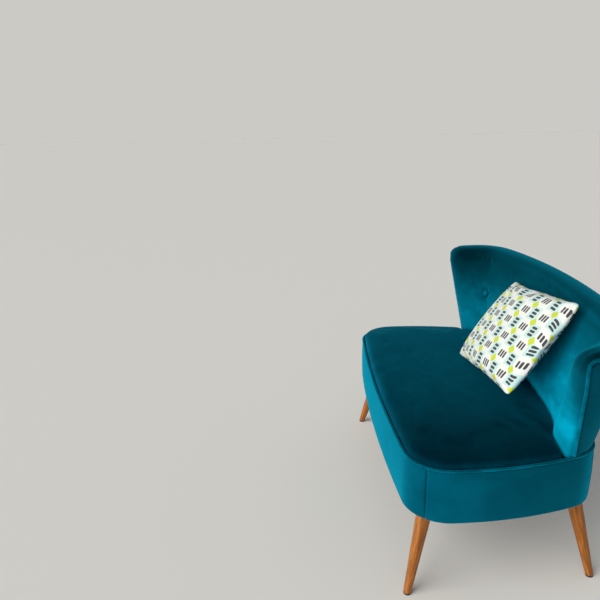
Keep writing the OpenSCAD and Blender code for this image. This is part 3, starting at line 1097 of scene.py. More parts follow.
@dataclass(frozen=True)
class Fabric:
    """How the cloth of a padded piece behaves while the piece is filled.

    Attributes:
        quality: how many steps the solver takes in each frame.
        mass: weight of each of its points, in kilograms.
        stretch: how stiff it is along its threads.
        shear: how stiff it is askew to them.
        bend: how stiff it is against a fold.
        frames: number of frames for which it is filled.
    """

    quality: int
    mass: float
    stretch: float
    shear: float
    bend: float
    frames: int = 20

    def fill(self, obj: bpy.types.Object, pressure: float, held: str = "") -> None:
        """Swells a closed mesh with a cloth simulation and applies it.

        Args:
            obj: the mesh object.
            pressure: the pressure inside it.
            held: the vertex group that says how firmly each point is held.
        """
        pick(obj)
        cloth = obj.modifiers.new("cover", "CLOTH")
        rules = cloth.settings
        rules.quality = self.quality
        rules.mass = self.mass
        rules.tension_stiffness = rules.compression_stiffness = self.stretch
        rules.shear_stiffness = self.shear
        rules.bending_stiffness = self.bend
        rules.use_pressure = True
        rules.uniform_pressure_force = pressure
        rules.vertex_group_mass = held
        rules.effector_weights.gravity = 0.0
        cloth.collision_settings.use_collision = False
        cloth.point_cache.frame_start = 1
        cloth.point_cache.frame_end = self.frames
        for step in range(1, self.frames + 1):
            bpy.context.scene.frame_set(step)
        bpy.ops.object.modifier_apply(modifier=cloth.name)
        bpy.context.scene.frame_set(1)


@dataclass(frozen=True)
class Stuffing:
    """How a padded piece is filled.

    Attributes:
        voxel: size of the cells of its cloth.
        shrink: how far it starts inside its CAD solid.
        pressure: the pressure that swells it.
        cap: how far a point may move from where it starts.
        sink: how far a point may move inwards, against the foam.
        clear: room that it keeps from its neighbours.
        smooth: how often its cloth is relaxed afterwards.
        fabric: how its cloth behaves.
    """

    voxel: float
    shrink: float
    pressure: float
    cap: float
    sink: float = 0.5 * MM
    clear: float = 0.4 * MM
    smooth: int = 4
    fabric: Fabric = Fabric(quality=4, mass=0.3, stretch=20, shear=8, bend=0.6)

    def swell(
        self,
        obj: bpy.types.Object,
        held: Callable[[np.ndarray], np.ndarray],
        neighbours: Sequence[str] = (),
    ) -> bpy.types.Object:
        """Turns a copy of a CAD solid into a filled cover.

        Args:
            obj: the copy, welded.
            held: gives, from the points, how firmly each is held, 0 to 1.
            neighbours: CAD nodes that the cover must stay clear of.

        Returns:
            The same object, with its cloth applied.
        """
        pick(obj)
        obj.data.remesh_voxel_size = self.voxel
        obj.data.use_remesh_preserve_volume = True
        bpy.ops.object.voxel_remesh()
        modified(obj, "SMOOTH", factor=0.5, iterations=self.smooth)
        start = points_of(obj) - points_of(obj, "normal") * self.shrink
        move_points(obj, start)
        facing = points_of(obj, "normal")
        grip = held(start)
        # The cloth holds the points of this group; those that are hardly held stay out of it.
        group = obj.vertex_groups.new(name="held")
        for i in np.flatnonzero(grip > 0.02):
            group.add([int(i)], float(min(grip[i], 1.0)), "REPLACE")
        self.fabric.fill(obj, self.pressure, group.name)
        swollen = points_of(obj)
        room = np.full(len(start), self.cap)
        if neighbours:
            near = distances(start, tree_of(*neighbours), 4 * self.cap)
            room = np.minimum(room, np.maximum(near - self.clear, 0.0))
        moved = swollen - start
        moved -= facing * np.minimum(np.einsum("ij,ij->i", moved, facing) + self.sink, 0.0)[:, None]
        length = np.linalg.norm(moved, axis=1)
        scale = np.minimum(1.0, room / np.maximum(length, 1e-9))
        move_points(obj, start + moved * scale[:, None])
        obj.vertex_groups.clear()
        modified(obj, "SMOOTH", factor=0.5, iterations=self.smooth)
        modified(obj, "SUBSURF", levels=1, render_levels=1)
        return smoothed(obj)


@dataclass
class SeatCover:
    """The domed top of the seat.

    Attributes:
        velvet: its material.
        stuffing: how it is filled.
        edge_h: height of the part of its edge that the piping holds.
    """

    velvet: bpy.types.Material
    stuffing: Stuffing = Stuffing(voxel=8 * MM, shrink=1.2 * MM, pressure=4.0, cap=5 * MM, clear=0.6 * MM)
    edge_h: float = 9 * MM

    def build(self) -> bpy.types.Object:
        """Makes the cover.

        Returns:
            The finished piece.
        """
        low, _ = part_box("seat_pad")
        edge_z = low.z + self.edge_h

        def held(points: np.ndarray) -> np.ndarray:
            """Holds the cover along the piping and underneath."""
            return 1 - smooth_step(points[:, 2], edge_z, edge_z + self.edge_h)

        cover = self.stuffing.swell(
            copy_of("seat_pad", "seat_cover"), held, ["back_pad", "scatter_cushion", "seat_piping"]
        )
        dress(cover, self.velvet, Slot.VELVET, "seat_pad")
        return cover


@dataclass
class BackCover:
    """The curved back with its wings, pulled in at its buttons.

    Attributes:
        velvet: its material.
        stuffing: how it is filled.
        tied_l: distances from a seam at which its hold starts to give and has ended.
        foot_l: heights above the foot at which the hold of the seat starts to give and has ended.
        hold_r: distance from a button's middle within which the cover doesn't swell.
        hold_l: width of the band round that in which the hold ends.
        dimple_r: distance from a button's middle at which its dimple ends.
        dimple_d: depth to which a button pulls the cover in.
        skin: depth behind a button to which the dimple reaches into the back.
        neck: distance from a button's middle within which the dimple is deepest.
        fold_d: depth of the small folds that run into a button.
        fold_l: distances from a button's middle between which they rise.
        folds: number of those folds.
        seam_l: distance from the piping within which the cover is drawn tight over the edge.
    """

    velvet: bpy.types.Material
    stuffing: Stuffing = Stuffing(voxel=8 * MM, shrink=1.2 * MM, pressure=4.0, cap=8 * MM, clear=0.6 * MM)
    tied_l: tuple[float, float] = (3 * MM, 13 * MM)
    foot_l: tuple[float, float] = (12 * MM, 70 * MM)
    hold_r: float = 12 * MM
    hold_l: float = 6 * MM
    dimple_r: float = 50 * MM
    dimple_d: float = 8 * MM
    skin: float = 30 * MM
    neck: float = 9 * MM
    fold_d: float = 1.3 * MM
    fold_l: tuple[float, float] = (4 * MM, 14 * MM)
    folds: int = 7
    seam_l: float = 34 * MM

    def build(self) -> bpy.types.Object:
        """Makes the cover.

        Returns:
            The finished piece.
        """
        seams = tree_of("back_outer_panel", "back_piping", "seat_piping")
        low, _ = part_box("back_pad")
        middles = [button_seat(place)[0] for place in Place]

        def held(points: np.ndarray) -> np.ndarray:
            """Holds the cover at its seams, at its foot and at its buttons.

            Args:
                points: its points.

            Returns:
                How firmly each point is held.
            """
            near = distances(points, seams, self.tied_l[1] + MM)
            grip = 1 - smooth_step(near, *self.tied_l)
            foot = 1 - smooth_step(points[:, 2], low.z + self.foot_l[0], low.z + self.foot_l[1])
            grip = np.maximum(grip, foot)
            for middle in middles:
                gap = np.linalg.norm(points - np.array(middle), axis=1)
                near = smooth_step(gap, self.hold_r, self.hold_r + self.hold_l)
                grip = np.maximum(grip, 1 - near)
            return grip

        cover = self.stuffing.swell(
            copy_of("back_pad", "back_cover"), held, ["scatter_cushion", "seat_pad"]
        )
        self.draw_to_seam(cover)
        for place in Place:
            self.pull_in(cover, place)
        dress(cover, self.velvet, Slot.VELVET, "back_pad")
        return cover

    def draw_to_seam(self, cover: bpy.types.Object) -> None:
        """Draws the cover tight over its edge, out to the seam where the piping is sewn in.

        Args:
            cover: the cover.
        """
        solid = tree_of("back_pad")
        points = points_of(cover)
        near = distances(points, tree_of("back_piping"), self.seam_l)
        pull = 1 - smooth_step(near, self.seam_l * 0.5, self.seam_l)
        for i in np.flatnonzero(pull > 0):
            spot, _, _, _ = solid.find_nearest(Vector(points[i]))
            points[i] += (np.array(spot) - points[i]) * pull[i]
        move_points(cover, points)

    def pull_in(self, cover: bpy.types.Object, place: Place) -> None:
        """Draws the cover in towards one button, with small folds running into it.

        Args:
            cover: the cover.
            place: which button.
        """
        middle, normal = button_seat(place)
        points = points_of(cover)
        away = points - np.array(middle)
        depth = away @ np.array(normal)
        flat = away - depth[:, None] * np.array(normal)
        radius = np.linalg.norm(flat, axis=1)
        side = normal.cross(Vector((0, 0, 1))).normalized()
        angle = np.arctan2(flat @ np.array(side.cross(normal)), flat @ np.array(side))
        near = (radius < self.dimple_r) & (depth > -self.skin)
        share = np.clip((self.dimple_r - radius) / (self.dimple_r - self.neck), 0, 1)
        bowl = self.dimple_d * share**4
        # The folds are spread unevenly, and differently at each button.
        ripple = np.cos(self.folds * angle + 2.1 * np.sin(angle * 2 + middle.x))
        fold = self.fold_d * ripple * share**2 * smooth_step(radius, *self.fold_l)
        points[near] -= ((bowl + fold)[:, None] * np.array(normal))[near]
        move_points(cover, points)


def button_seat(place: Place) -> tuple[Vector, Vector]:
    """Finds where a button sits.

    Args:
        place: which button.

    Returns:
        The middle of its base on the back's inner face, and the direction that it faces.
    """
    low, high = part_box(place.value)
    spot, normal, _, _ = tree_of("back_pad").find_nearest((low + high) / 2)
    return spot, normal


# Hard pieces and trim


@dataclass
class SeatBorder:
    """The four upholstered panels round the seat, seamed at the corners.

    Attributes:
        velvet: their material.
        crown: how far the padding stands out halfway up.
        tuck: how far a panel draws in where it is seamed to the next.
        tuck_l: distance from a seam at which that ends.
        rows: heights, as shares, at which each panel is divided.
        apart: distance within which two end faces belong to one seam.
    """

    velvet: bpy.types.Material
    crown: float = 2.2 * MM
    tuck: float = 1.0 * MM
    tuck_l: float = 5 * MM
    rows: tuple[float, ...] = (0.02, 0.06, 0.25, 0.5, 0.75, 0.94, 0.985)
    apart: float = 20 * MM

    def build(self) -> list[bpy.types.Object]:
        """Makes the four panels and returns them."""
        return [self.build_panel(side) for side in Side]

    def build_panel(self, side: Side) -> bpy.types.Object:
        """Makes one panel round its CAD node.

        Args:
            side: which panel.

        Returns:
            The finished piece.
        """
        low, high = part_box(side.value)
        height = high.z - low.z
        panel = copy_of(side.value, side.value.replace("border", "panel"))
        ends = self.seams(panel)
        with editing(panel):
            square_up(bend=20, skew=70)
            for row in self.rows:
                bpy.ops.mesh.select_all(action="SELECT")
                bpy.ops.mesh.bisect(plane_co=(0, 0, low.z + row * height), plane_no=(0, 0, 1))
        modified(panel, "SUBSURF", levels=2, render_levels=2)
        points = points_of(panel)
        level = points_of(panel, "normal")
        level[:, 2] = 0
        outward = self.outward(points)
        facing = smooth_step(np.einsum("ij,ij->i", level, outward), 0.3, 0.9)
        share = (points[:, 2] - low.z) / height
        push = self.crown * 4 * np.clip(share * (1 - share), 0, 1)
        for seam in ends:
            gap = np.linalg.norm(points[:, :2] - seam, axis=1)
            push -= self.tuck * (1 - smooth_step(gap, 0.0, self.tuck_l))
        move_points(panel, points + outward * (push * facing)[:, None])
        smoothed(panel)
        dress(panel, self.velvet, Slot.VELVET, side.value)
        return panel

    def seams(self, panel: bpy.types.Object) -> list[np.ndarray]:
        """Finds where a panel's two end faces are.

        Args:
            panel: the panel.

        Returns:
            The place of each, in plan.
        """
        ends: list[np.ndarray] = []
        for face in panel.data.polygons:
            if abs(face.normal.z) > 0.5:
                continue
            # An end face looks along the border, and the others look out of the seat or into it.
            out = self.outward(np.array([face.center]))[0]
            spot = np.array(face.center)[:2]
            is_end = abs(np.dot(out, face.normal)) < 0.4
            if is_end and all(np.linalg.norm(spot - e) > self.apart for e in ends):
                ends.append(spot)
        return ends

    def outward(self, points: np.ndarray) -> np.ndarray:
        """Gives the level direction out of the seat at points of its border.

        Args:
            points: the points.

        Returns:
            One direction for each point.
        """
        tree = tree_of("seat_frame")
        low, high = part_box("seat_frame")
        middle = (low.z + high.z) / 2
        found = np.zeros_like(points)
        for i, p in enumerate(points):
            spot, normal, _, _ = tree.find_nearest(Vector((p[0], p[1], middle)))
            level = Vector((p[0] - spot.x, p[1] - spot.y, 0))
            level = level if level.length > 1e-5 else Vector((normal.x, normal.y, 0))
            found[i] = level.normalized()
        return found


@dataclass
class Piping:
    """The velvet-covered cords round the seat and round the outer panel of the back.

    Attributes:
        velvet: their material.
        step: spacing of the rings along a cord.
        bite: how deep the back's cord is sewn into its cover.
    """

    velvet: bpy.types.Material
    step: float = 7 * MM
    bite: float = 0.8 * MM

    def build(self) -> list[bpy.types.Object]:
        """Makes both cords, which are equally thick.

        Returns:
            The cord round the seat and the one round the outer panel.
        """
        low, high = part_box("seat_piping")
        radius = (high.z - low.z) / 2
        return [self.build_seat(radius), self.build_back(radius)]

    def build_seat(self, radius: float) -> bpy.types.Object:
        """Makes the cord round the top edge of the seat.

        Args:
            radius: its radius.

        Returns:
            The finished piece.
        """
        line = evenly(middle_line("seat_piping", True), self.step, True)
        cord = cord_along("seat_cord", line, radius, True)
        return dress(cord, self.velvet, Slot.PIPING, "seat_piping")

    def build_back(self, radius: float) -> bpy.types.Object:
        """Makes the cord round the outer panel.

        Args:
            radius: its radius.

        Returns:
            The finished piece.
        """
        solid = tree_of("back_pad")
        line: list[Vector] = []
        for point in evenly(middle_line("back_piping", False), self.step, False):
            spot, _, _, gap = solid.find_nearest(point)
            line.append(spot.lerp(point, (radius - self.bite) / gap))
        cord = cord_along("back_cord", line, radius, False)
        return dress(cord, self.velvet, Slot.PIPING, "back_piping")


@dataclass
class OuterPanel:
    """The plain panel on the outside of the back, pulled tight inside its piping.

    Attributes:
        velvet: its material.
    """

    velvet: bpy.types.Material

    def build(self) -> bpy.types.Object:
        """Makes the panel.

        Returns:
            The finished piece.
        """
        panel = copy_of("back_outer_panel", "outer_panel")
        with editing(panel):
            square_up(bend=40, skew=80)
        smoothed(modified(panel, "SUBSURF", levels=2, render_levels=2))
        dress(panel, self.velvet, Slot.VELVET, "back_outer_panel")
        return panel


@dataclass
class CoveredButton:
    """A button covered in the same velvet, with its rim turned under.

    Attributes:
        velvet: its material.
        skirt: how far its body reaches into the dimple.
        body: radius of its body, as a share of the CAD button's.
        pinch: how far the rim draws in at the back.
        dome: widths and rises of the rings of its top, as shares of its radius and its height.
    """

    velvet: bpy.types.Material
    skirt: float = 6 * MM
    body: float = 0.97
    pinch: float = 0.82
    dome: tuple[tuple[float, float], ...] = ((0.12, 0.45), (0.22, 0.35), (0.3, 0.18), (0.2, 0.02))

    def build(self) -> list[bpy.types.Object]:
        """Makes the three buttons and returns them."""
        return [self.build_one(place) for place in Place]

    def build_one(self, place: Place) -> bpy.types.Object:
        """Makes one button on its seat.

        Args:
            place: which button.

        Returns:
            The finished piece.
        """
        low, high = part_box(place.value)
        spot, normal = button_seat(place)
        radius = (high.z - low.z) / 2
        corners = points_of(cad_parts[place.value])
        height = float(max((corners - np.array(spot)) @ np.array(normal)))
        button = primitive(
            bpy.ops.mesh.primitive_cylinder_add,
            place.value.replace("_button", "_covered_button"),
            vertices=32,
            radius=radius * self.body,
            depth=self.skirt,
            end_fill_type="NGON",
        )
        with editing(button):
            select_where(button, "faces", lambda f: f.normal.z > 0.9)
            for width, rise in self.dome:
                bpy.ops.mesh.inset(thickness=radius * width, depth=height * rise)
            select_where(button, "faces", lambda f: f.normal.z < -0.9)
            bpy.ops.transform.resize(value=(self.pinch, self.pinch, 1.0))
        modified(button, "SUBSURF", levels=2, render_levels=2)
        turn = normal.to_track_quat("Z", "Y").to_matrix().to_4x4()
        button.data.transform(Matrix.Translation(spot) @ turn @ Matrix.Translation((0, 0, -self.skirt / 2)))
        return dress(smoothed(button), self.velvet, Slot.VELVET, place.value)


@dataclass
class Leg:
    """A round tapered leg with its steel plate and its glide.

    Attributes:
        corner: which corner it stands at.
        steel: material of the plate and its screws.
        nylon: material of the glide.
        sides: number of sides of the leg and of the plate.
        rings: heights, as shares, at which the leg is divided.
        foot_ease: width of the eased edge at its foot.
        plate_ease: width of the plate's eased edge.
        sole_ease: width of the rounding of the glide's sole.
        rim_ease: width of the eased edge at the glide's top.
        screws: number of screws in the plate.
        screw_r: radius of the screw heads.
        screw_h: height of a head, with what is sunk in the plate.
        sunk: how deep it is sunk.
        head: widths and depths of the rings of a head, from its rim into its round recess.
    """

    corner: Corner
    steel: bpy.types.Material
    nylon: bpy.types.Material
    sides: int = 64
    rings: tuple[float, ...] = (0.02, 0.33, 0.66, 0.98)
    foot_ease: float = 1.2 * MM
    plate_ease: float = 0.8 * MM
    sole_ease: float = 1.6 * MM
    rim_ease: float = 0.4 * MM
    screws: int = 4
    screw_r: float = 2.4 * MM
    screw_h: float = 1.4 * MM
    sunk: float = 0.1 * MM
    head: tuple[tuple[float, float], ...] = ((0.7 * MM, 0.5 * MM), (0.5 * MM, 0.0), (0.3 * MM, -0.9 * MM))

    def build(self) -> list[bpy.types.Object]:
        """Makes the leg, its plate with screws, and its glide."""
        return [self.build_leg(), self.build_plate(), self.build_glide()]

    def build_leg(self) -> bpy.types.Object:
        """Makes the turned leg between its two level ends.

        Returns:
            The finished piece.
        """
        node = self.corner.value + "_leg"
        low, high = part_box(node)
        corners = points_of(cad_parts[node])
        top_ring = corners[corners[:, 2] > high.z - 0.01 * MM]
        foot_ring = corners[corners[:, 2] < low.z + 0.01 * MM]
        top = Vector((top_ring.min(0) + top_ring.max(0)) / 2)
        foot = Vector((foot_ring.min(0) + foot_ring.max(0)) / 2)
        along = (top - foot).normalized()
        across = along.cross(Vector((0, 0, 1))).normalized()
        top_r = float(np.ptp(top_ring @ np.array(across))) / 2
        foot_r = float(np.ptp(foot_ring @ np.array(across))) / 2
        length = (top - foot).length
        slope = (top_r - foot_r) / length
        # The cone is longer than the leg by this at each end, and is cut off level there.
        spare = top_r
        leg = primitive(
            bpy.ops.mesh.primitive_cone_add,
            self.corner.value + "_turned_leg",
            vertices=self.sides,
            radius1=foot_r - slope * spare,
            radius2=top_r + slope * spare,
            depth=length + 2 * spare,
            location=(top + foot) / 2,
            rotation=along.to_track_quat("Z", "Y").to_euler(),
        )
        with editing(leg):
            for z, side in ((low.z, True), (high.z, False)):
                bpy.ops.mesh.select_all(action="SELECT")
                bpy.ops.mesh.bisect(
                    plane_co=(0, 0, z), plane_no=(0, 0, 1), use_fill=True,
                    clear_inner=side, clear_outer=not side,
                )
            for share in self.rings:
                bpy.ops.mesh.select_all(action="SELECT")
                bpy.ops.mesh.bisect(plane_co=tuple(foot.lerp(top, share)), plane_no=(0, 0, 1))
            round_edge(leg, low.z, self.foot_ease, 3)
            bpy.ops.mesh.select_all(action="SELECT")
            bpy.ops.mesh.normals_make_consistent(inside=False)
        wood = StainedBeech(f"satin stained beech {self.corner.value}", tuple(top), tuple(foot)).build()
        return dress(smoothed(leg, CRISP), wood, Slot.LEG_WOOD, node)

    def build_plate(self) -> bpy.types.Object:
        """Makes the round plate with its eased edge and its screw heads.

        Returns:
            The finished piece.
        """
        node = self.corner.value + "_leg_plate"
        low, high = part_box(node)
        middle = (low + high) / 2
        radius = (high.x - low.x) / 2
        plate = primitive(
            bpy.ops.mesh.primitive_cylinder_add,
            self.corner.value + "_steel_plate",
            vertices=self.sides,
            radius=radius,
            depth=high.z - low.z,
            location=middle,
        )
        with editing(plate):
            round_edge(plate, low.z, self.plate_ease, 2)
        # The screws stand in a ring just inside the plate's edge.
        heads: list[bpy.types.Object] = []
        reach = radius - 1.25 * self.screw_r
        for k in range(self.screws):
            angle = math.radians(45 + 360 / self.screws * k)
            spot = middle + Vector((math.cos(angle) * reach, math.sin(angle) * reach, 0))
            heads.append(self.screw_head(Vector((spot.x, spot.y, low.z))))
        pick(*heads, plate)
        bpy.ops.object.join()
        return dress(smoothed(plate, CRISP), self.steel, Slot.PLATE_STEEL, node)

    def screw_head(self, spot: Vector) -> bpy.types.Object:
        """Makes one raised screw head with a round recess.

        Args:
            spot: the point of the plate's lower face that it hangs from.

        Returns:
            The head.
        """
        head = primitive(
            bpy.ops.mesh.primitive_cylinder_add,
            "screw_head",
            vertices=16,
            radius=self.screw_r,
            depth=self.screw_h,
            location=spot - Vector((0, 0, self.screw_h / 2 - self.sunk)),
        )
        with editing(head):
            select_where(head, "faces", lambda f: f.normal.z < -0.9)
            for width, depth in self.head:
                bpy.ops.mesh.inset(thickness=width, depth=depth)
        return head

    def build_glide(self) -> bpy.types.Object:
        """Makes the moulded glide with a rounded sole.

        Returns:
            The finished piece.
        """
        node = self.corner.value + "_glide"
        low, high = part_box(node)
        glide = primitive(
            bpy.ops.mesh.primitive_cylinder_add,
            self.corner.value + "_moulded_glide",
            vertices=48,
            radius=(high.x - low.x) / 2,
            depth=high.z - low.z,
            location=(low + high) / 2,
        )
        # Two roundings under one edit leave the faces in an order that changes from run to run.
        with editing(glide):
            round_edge(glide, low.z, self.sole_ease, 4)
        with editing(glide):
            round_edge(glide, high.z, self.rim_ease, 2)
        return dress(smoothed(glide, CRISP), self.nylon, Slot.GLIDE_PLASTIC, node)


@dataclass
class Staples:
    """The row of staples that holds the lining cloth under the seat.

    Attributes:
        steel: their material.
        pitch: spacing along the edge.
        inset: distance from the cloth's edge.
        crown_w: width of one staple.
        wire: thickness of its wire.
        askew: how far a staple may be turned from the edge, in radians.
    """

    steel: bpy.types.Material
    pitch: float = 42 * MM
    inset: float = 14 * MM
    crown_w: float = 11 * MM
    wire: float = 1.1 * MM
    askew: float = 0.12

    def build(self) -> bpy.types.Object:
        """Makes all the staples as one piece.

        Returns:
            The finished piece.
        """
        low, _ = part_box("dust_cover")
        spots = evenly(self.outline(), self.pitch, True)
        staple = primitive(
            bpy.ops.mesh.primitive_cylinder_add,
            "staple",
            vertices=8,
            radius=self.wire / 2,
            depth=self.crown_w,
            rotation=(0, math.pi / 2, 0),
        )
        with editing(staple):
            # The ends are rounded, as the wire is where it bends up into the rail.
            select_where(staple, "edges", lambda e: abs(e.verts[0].co.x) > self.crown_w * 0.4
                         and e.verts[0].co.x * e.verts[1].co.x > 0)
            bpy.ops.mesh.bevel(offset=self.wire * 0.3, segments=2)
        copies: list[bpy.types.Object] = []
        for k, spot in enumerate(spots):
            ahead = spots[(k + 1) % len(spots)] - spots[k - 1]
            inward = Vector((0, 0, 1)).cross(ahead).normalized()
            place = Vector((spot.x, spot.y, low.z - self.wire * 0.2)) + inward * self.inset
            bearing = math.atan2(ahead.y, ahead.x) + self.askew * math.sin(3.7 * k)
            mesh = staple.data.copy()
            mesh.transform(Matrix.Translation(place) @ Matrix.Rotation(bearing, 4, "Z"))
            copies.append(bpy.data.objects.new("staple", mesh))
            bpy.context.scene.collection.objects.link(copies[-1])
        bpy.data.objects.remove(staple)
        row = pick(*copies)
        bpy.ops.object.join()
        row.name = row.data.name = "lining_staples"
        return dress(smoothed(row, math.radians(40)), self.steel, Slot.PLATE_STEEL)

    def outline(self) -> list[Vector]:
        """Finds the lower edge of the lining cloth.

        Returns:
            Its corners, in order round it.
        """
        cover = copy_of("dust_cover", "staple_line")
        lowest = min(v.co.z for v in cover.data.vertices)
        rim = [v.co.copy() for v in cover.data.vertices if v.co.z < lowest + 0.1 * MM]
        bpy.data.objects.remove(cover)
        return sorted(rim, key=lambda p: math.atan2(p.y, p.x))


@dataclass
class LooseCushion:
    """The oblong cushion that leans on the back.

    Attributes:
        cotton: its material.
        columns: cells across its width.
        fullness: how much larger it is cut than it measures when filled.
        corner_r: radius at which its corners are sewn round.
        thick: distance between its two sides before it is filled.
        fabric: how its cover behaves.
        pressure: the pressure that fills it.
        hollow: how far the middle of each side is drawn in, as a share.
        plump: how full it is towards its seam; less than one is fuller.
        clear: room that it keeps from the seat and the back.
        ridge_w: width of the strip that counts as a face's ridge, as a share of the face's.
        rows: number of rows in which the way over the filled cloth is measured.
        last_row: where the outermost rows lie, as a share of the way to the seam.
        stride: spacing of the marks along a row.
    """

    cotton: bpy.types.Material
    columns: int = 64
    fullness: float = 1.03
    corner_r: float = 16 * MM
    thick: float = 3 * MM
    fabric: Fabric = Fabric(quality=5, mass=0.25, stretch=80, shear=27, bend=0.4)
    pressure: float = 2.3
    hollow: float = 0.02
    plump: float = 0.78
    clear: float = 0.5 * MM
    ridge_w: float = 0.06
    rows: int = 13
    last_row: float = 0.85
    stride: float = 9 * MM

    def build(self) -> bpy.types.Object:
        """Makes the cushion, in the place and at the slant of its CAD solid.

        Returns:
            The finished piece.
        """
        corners = points_of(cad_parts["scatter_cushion"])
        # The solid's longest way is the cushion's width, and the next is its height.
        _, ways = np.linalg.eigh(np.cov((corners - corners.mean(0)).T))
        right = Vector(ways[:, 2]) * (1 if ways[0, 2] > 0 else -1)
        up = Vector(ways[:, 1]) * (1 if ways[2, 1] > 0 else -1)
        axes = np.array([right, up, right.cross(up)])
        local = corners @ axes.T
        middle = (local.min(0) + local.max(0)) / 2
        size = local.max(0) - local.min(0)
        cushion = self.cut(size[0], size[1])
        self.fill(cushion, size)
        turn = Matrix.Identity(4)
        for k, axis in enumerate(axes):
            turn.col[k] = (*axis, 0.0)
        cushion.data.transform(Matrix.Translation(middle @ axes) @ turn)
        self.settle(cushion)
        smoothed(cushion)
        dress(cushion, self.cotton, Slot.CUSHION_COTTON, "scatter_cushion")
        return cushion

    def cut(self, width: float, height: float) -> bpy.types.Object:
        """Cuts the two sides of the cover flat, joined along their edge.

        Args:
            width: width of the finished cushion.
            height: its height.

        Returns:
            The empty cover, about the origin.
        """
        cushion = primitive(
            bpy.ops.mesh.primitive_grid_add,
            "loose_cushion",
            x_subdivisions=self.columns,
            y_subdivisions=round(self.columns * height / width),
            size=1.0,
        )
        cushion.data.uv_layers[0].name = "cut"
        across, tall = width * self.fullness, height * self.fullness
        flat = points_of(cushion) * np.array([across, tall, 1.0])
        centre = np.array([across, tall]) / 2 - self.corner_r
        beyond = np.maximum(np.abs(flat[:, :2]) - centre, 0.0)
        length = np.maximum(np.linalg.norm(beyond, axis=1), 1e-9)
        beyond *= (beyond.max(1) / length)[:, None]
        inner = np.minimum(np.abs(flat[:, :2]), centre)
        flat[:, :2] = np.sign(flat[:, :2]) * (inner + beyond)
        move_points(cushion, flat)
        return modified(cushion, "SOLIDIFY", thickness=self.thick, offset=0.0)

    def fill(self, cushion: bpy.types.Object, size: np.ndarray) -> None:
        """Fills the cover by pressure and fits it to the size of its CAD solid.

        Args:
            cushion: the empty cover.
            size: the size of the finished cushion.
        """
        self.fabric.fill(cushion, self.pressure)
        modified(cushion, "SUBSURF", levels=1, render_levels=1)
        points = points_of(cushion)
        low, high = points.min(0), points.max(0)
        points = (points - (low + high) / 2) * (size / (high - low))
        reach = size[2] / 2
        points[:, 2] = np.sign(points[:, 2]) * reach * (np.abs(points[:, 2]) / reach) ** self.plump
        for axis, beside in ((1, 0), (0, 1)):
            points[:, axis] *= self.straightening(points, axis, beside, size)
        move_points(cushion, points)
        self.relay_print(cushion, points)

    def straightening(self, points: np.ndarray, axis: int, beside: int, size: np.ndarray) -> np.ndarray:
        """Finds how much each point is drawn out, so that a side comes nearly straight.

        Args:
            points: the filled cover's points, about its middle.
            axis: 0 or 1, the direction in which they are drawn out.
            beside: the other of the two.
            size: the size of the finished cushion.

        Returns:
            One factor for each point.
        """
        half = size / 2
        bins = 24
        marks = np.linspace(-1.0, 1.0, bins + 1)
        place = np.clip(points[:, beside] / half[beside], -1.0, 1.0)
        cell = np.clip(((place + 1) / 2 * bins).astype(int), 0, bins - 1)
        reach = np.array([np.abs(points[cell == k, axis]).max() for k in range(bins)])
        middles = (marks[:-1] + marks[1:]) / 2
        # The round corners are left out, and the rest of the side is followed by a smooth curve.
        inside = np.abs(middles) < 1 - 2.2 * self.corner_r / half[beside]
        curve = np.polynomial.Polynomial.fit(middles[inside], reach[inside], 4)
        edge = np.clip(place, middles[inside][0], middles[inside][-1])
        wanted = half[axis] * (1 - self.hollow * (1 - edge**2))
        return wanted / curve(edge)

    def relay_print(self, cushion: bpy.types.Object, points: np.ndarray) -> None:
        """Spaces the print by the length of the filled cloth, so that it isn't stretched at the seam.

        Args:
            cushion: the filled cover.
            points: its points, about its middle.
        """
        cuts = cushion.data.uv_layers["cut"].data
        corners = np.array([loop.vertex_index for loop in cushion.data.loops])
        laid = np.empty((len(corners), 2), np.float32)
        height = np.abs(points[:, 2])
        for axis, beside in ((0, 1), (1, 0)):
            # Down the sides of the cushion its face falls from the ridge along its middle, so
            # a point's place is how far it lies from that ridge both sideways and downwards.
            reach = np.abs(points[:, beside]).max()
            ridge_line = np.abs(points[:, axis]) < self.ridge_w * np.abs(points[:, axis]).max()
            marks = np.linspace(-reach, reach, 33)
            beside_mark = reach / 12
            ridge = [
                height[ridge_line & (np.abs(points[:, beside] - mark) < beside_mark)].max()
                for mark in marks
            ]
            fall = np.maximum(np.interp(points[:, beside], marks, ridge) - height, 0.0)
            place = points[:, axis] + np.sign(points[:, axis]) * fall
            rows = np.linspace(-self.last_row, self.last_row, self.rows) * reach
            side = np.clip(points[:, beside], rows[0], rows[-1])
            # A point between two rows takes its share of the way along each.
            walked = np.zeros(len(points))
            for row in rows:
                share = 1 - np.abs(side - row) / (rows[1] - rows[0])
                strip = (points[:, 2] > 0) & (share > 0.5)
                walked += np.maximum(share, 0) * self.walk(points[strip][:, (axis, 2)], place[strip], place)
            laid[:, axis] = walked[corners]
        cuts.foreach_set("uv", laid.ravel())

    def walk(self, run: np.ndarray, along: np.ndarray, place: np.ndarray) -> np.ndarray:
        """Measures the way over the filled cloth from the cushion's middle line.

        Args:
            run: points of one strip of the cloth, as their distance sideways and their height.
            along: the places of those points in that strip.
            place: the places to which the way is measured.

        Returns:
            The way to each place.
        """
        cell = np.round(along / self.stride).astype(int)
        keys = np.unique(cell)
        marks = np.array([along[cell == k].mean() for k in keys])
        steps = np.diff([run[cell == k].mean(0) for k in keys], axis=0)
        ways = np.concatenate([[0], np.cumsum(np.linalg.norm(steps, axis=1))])
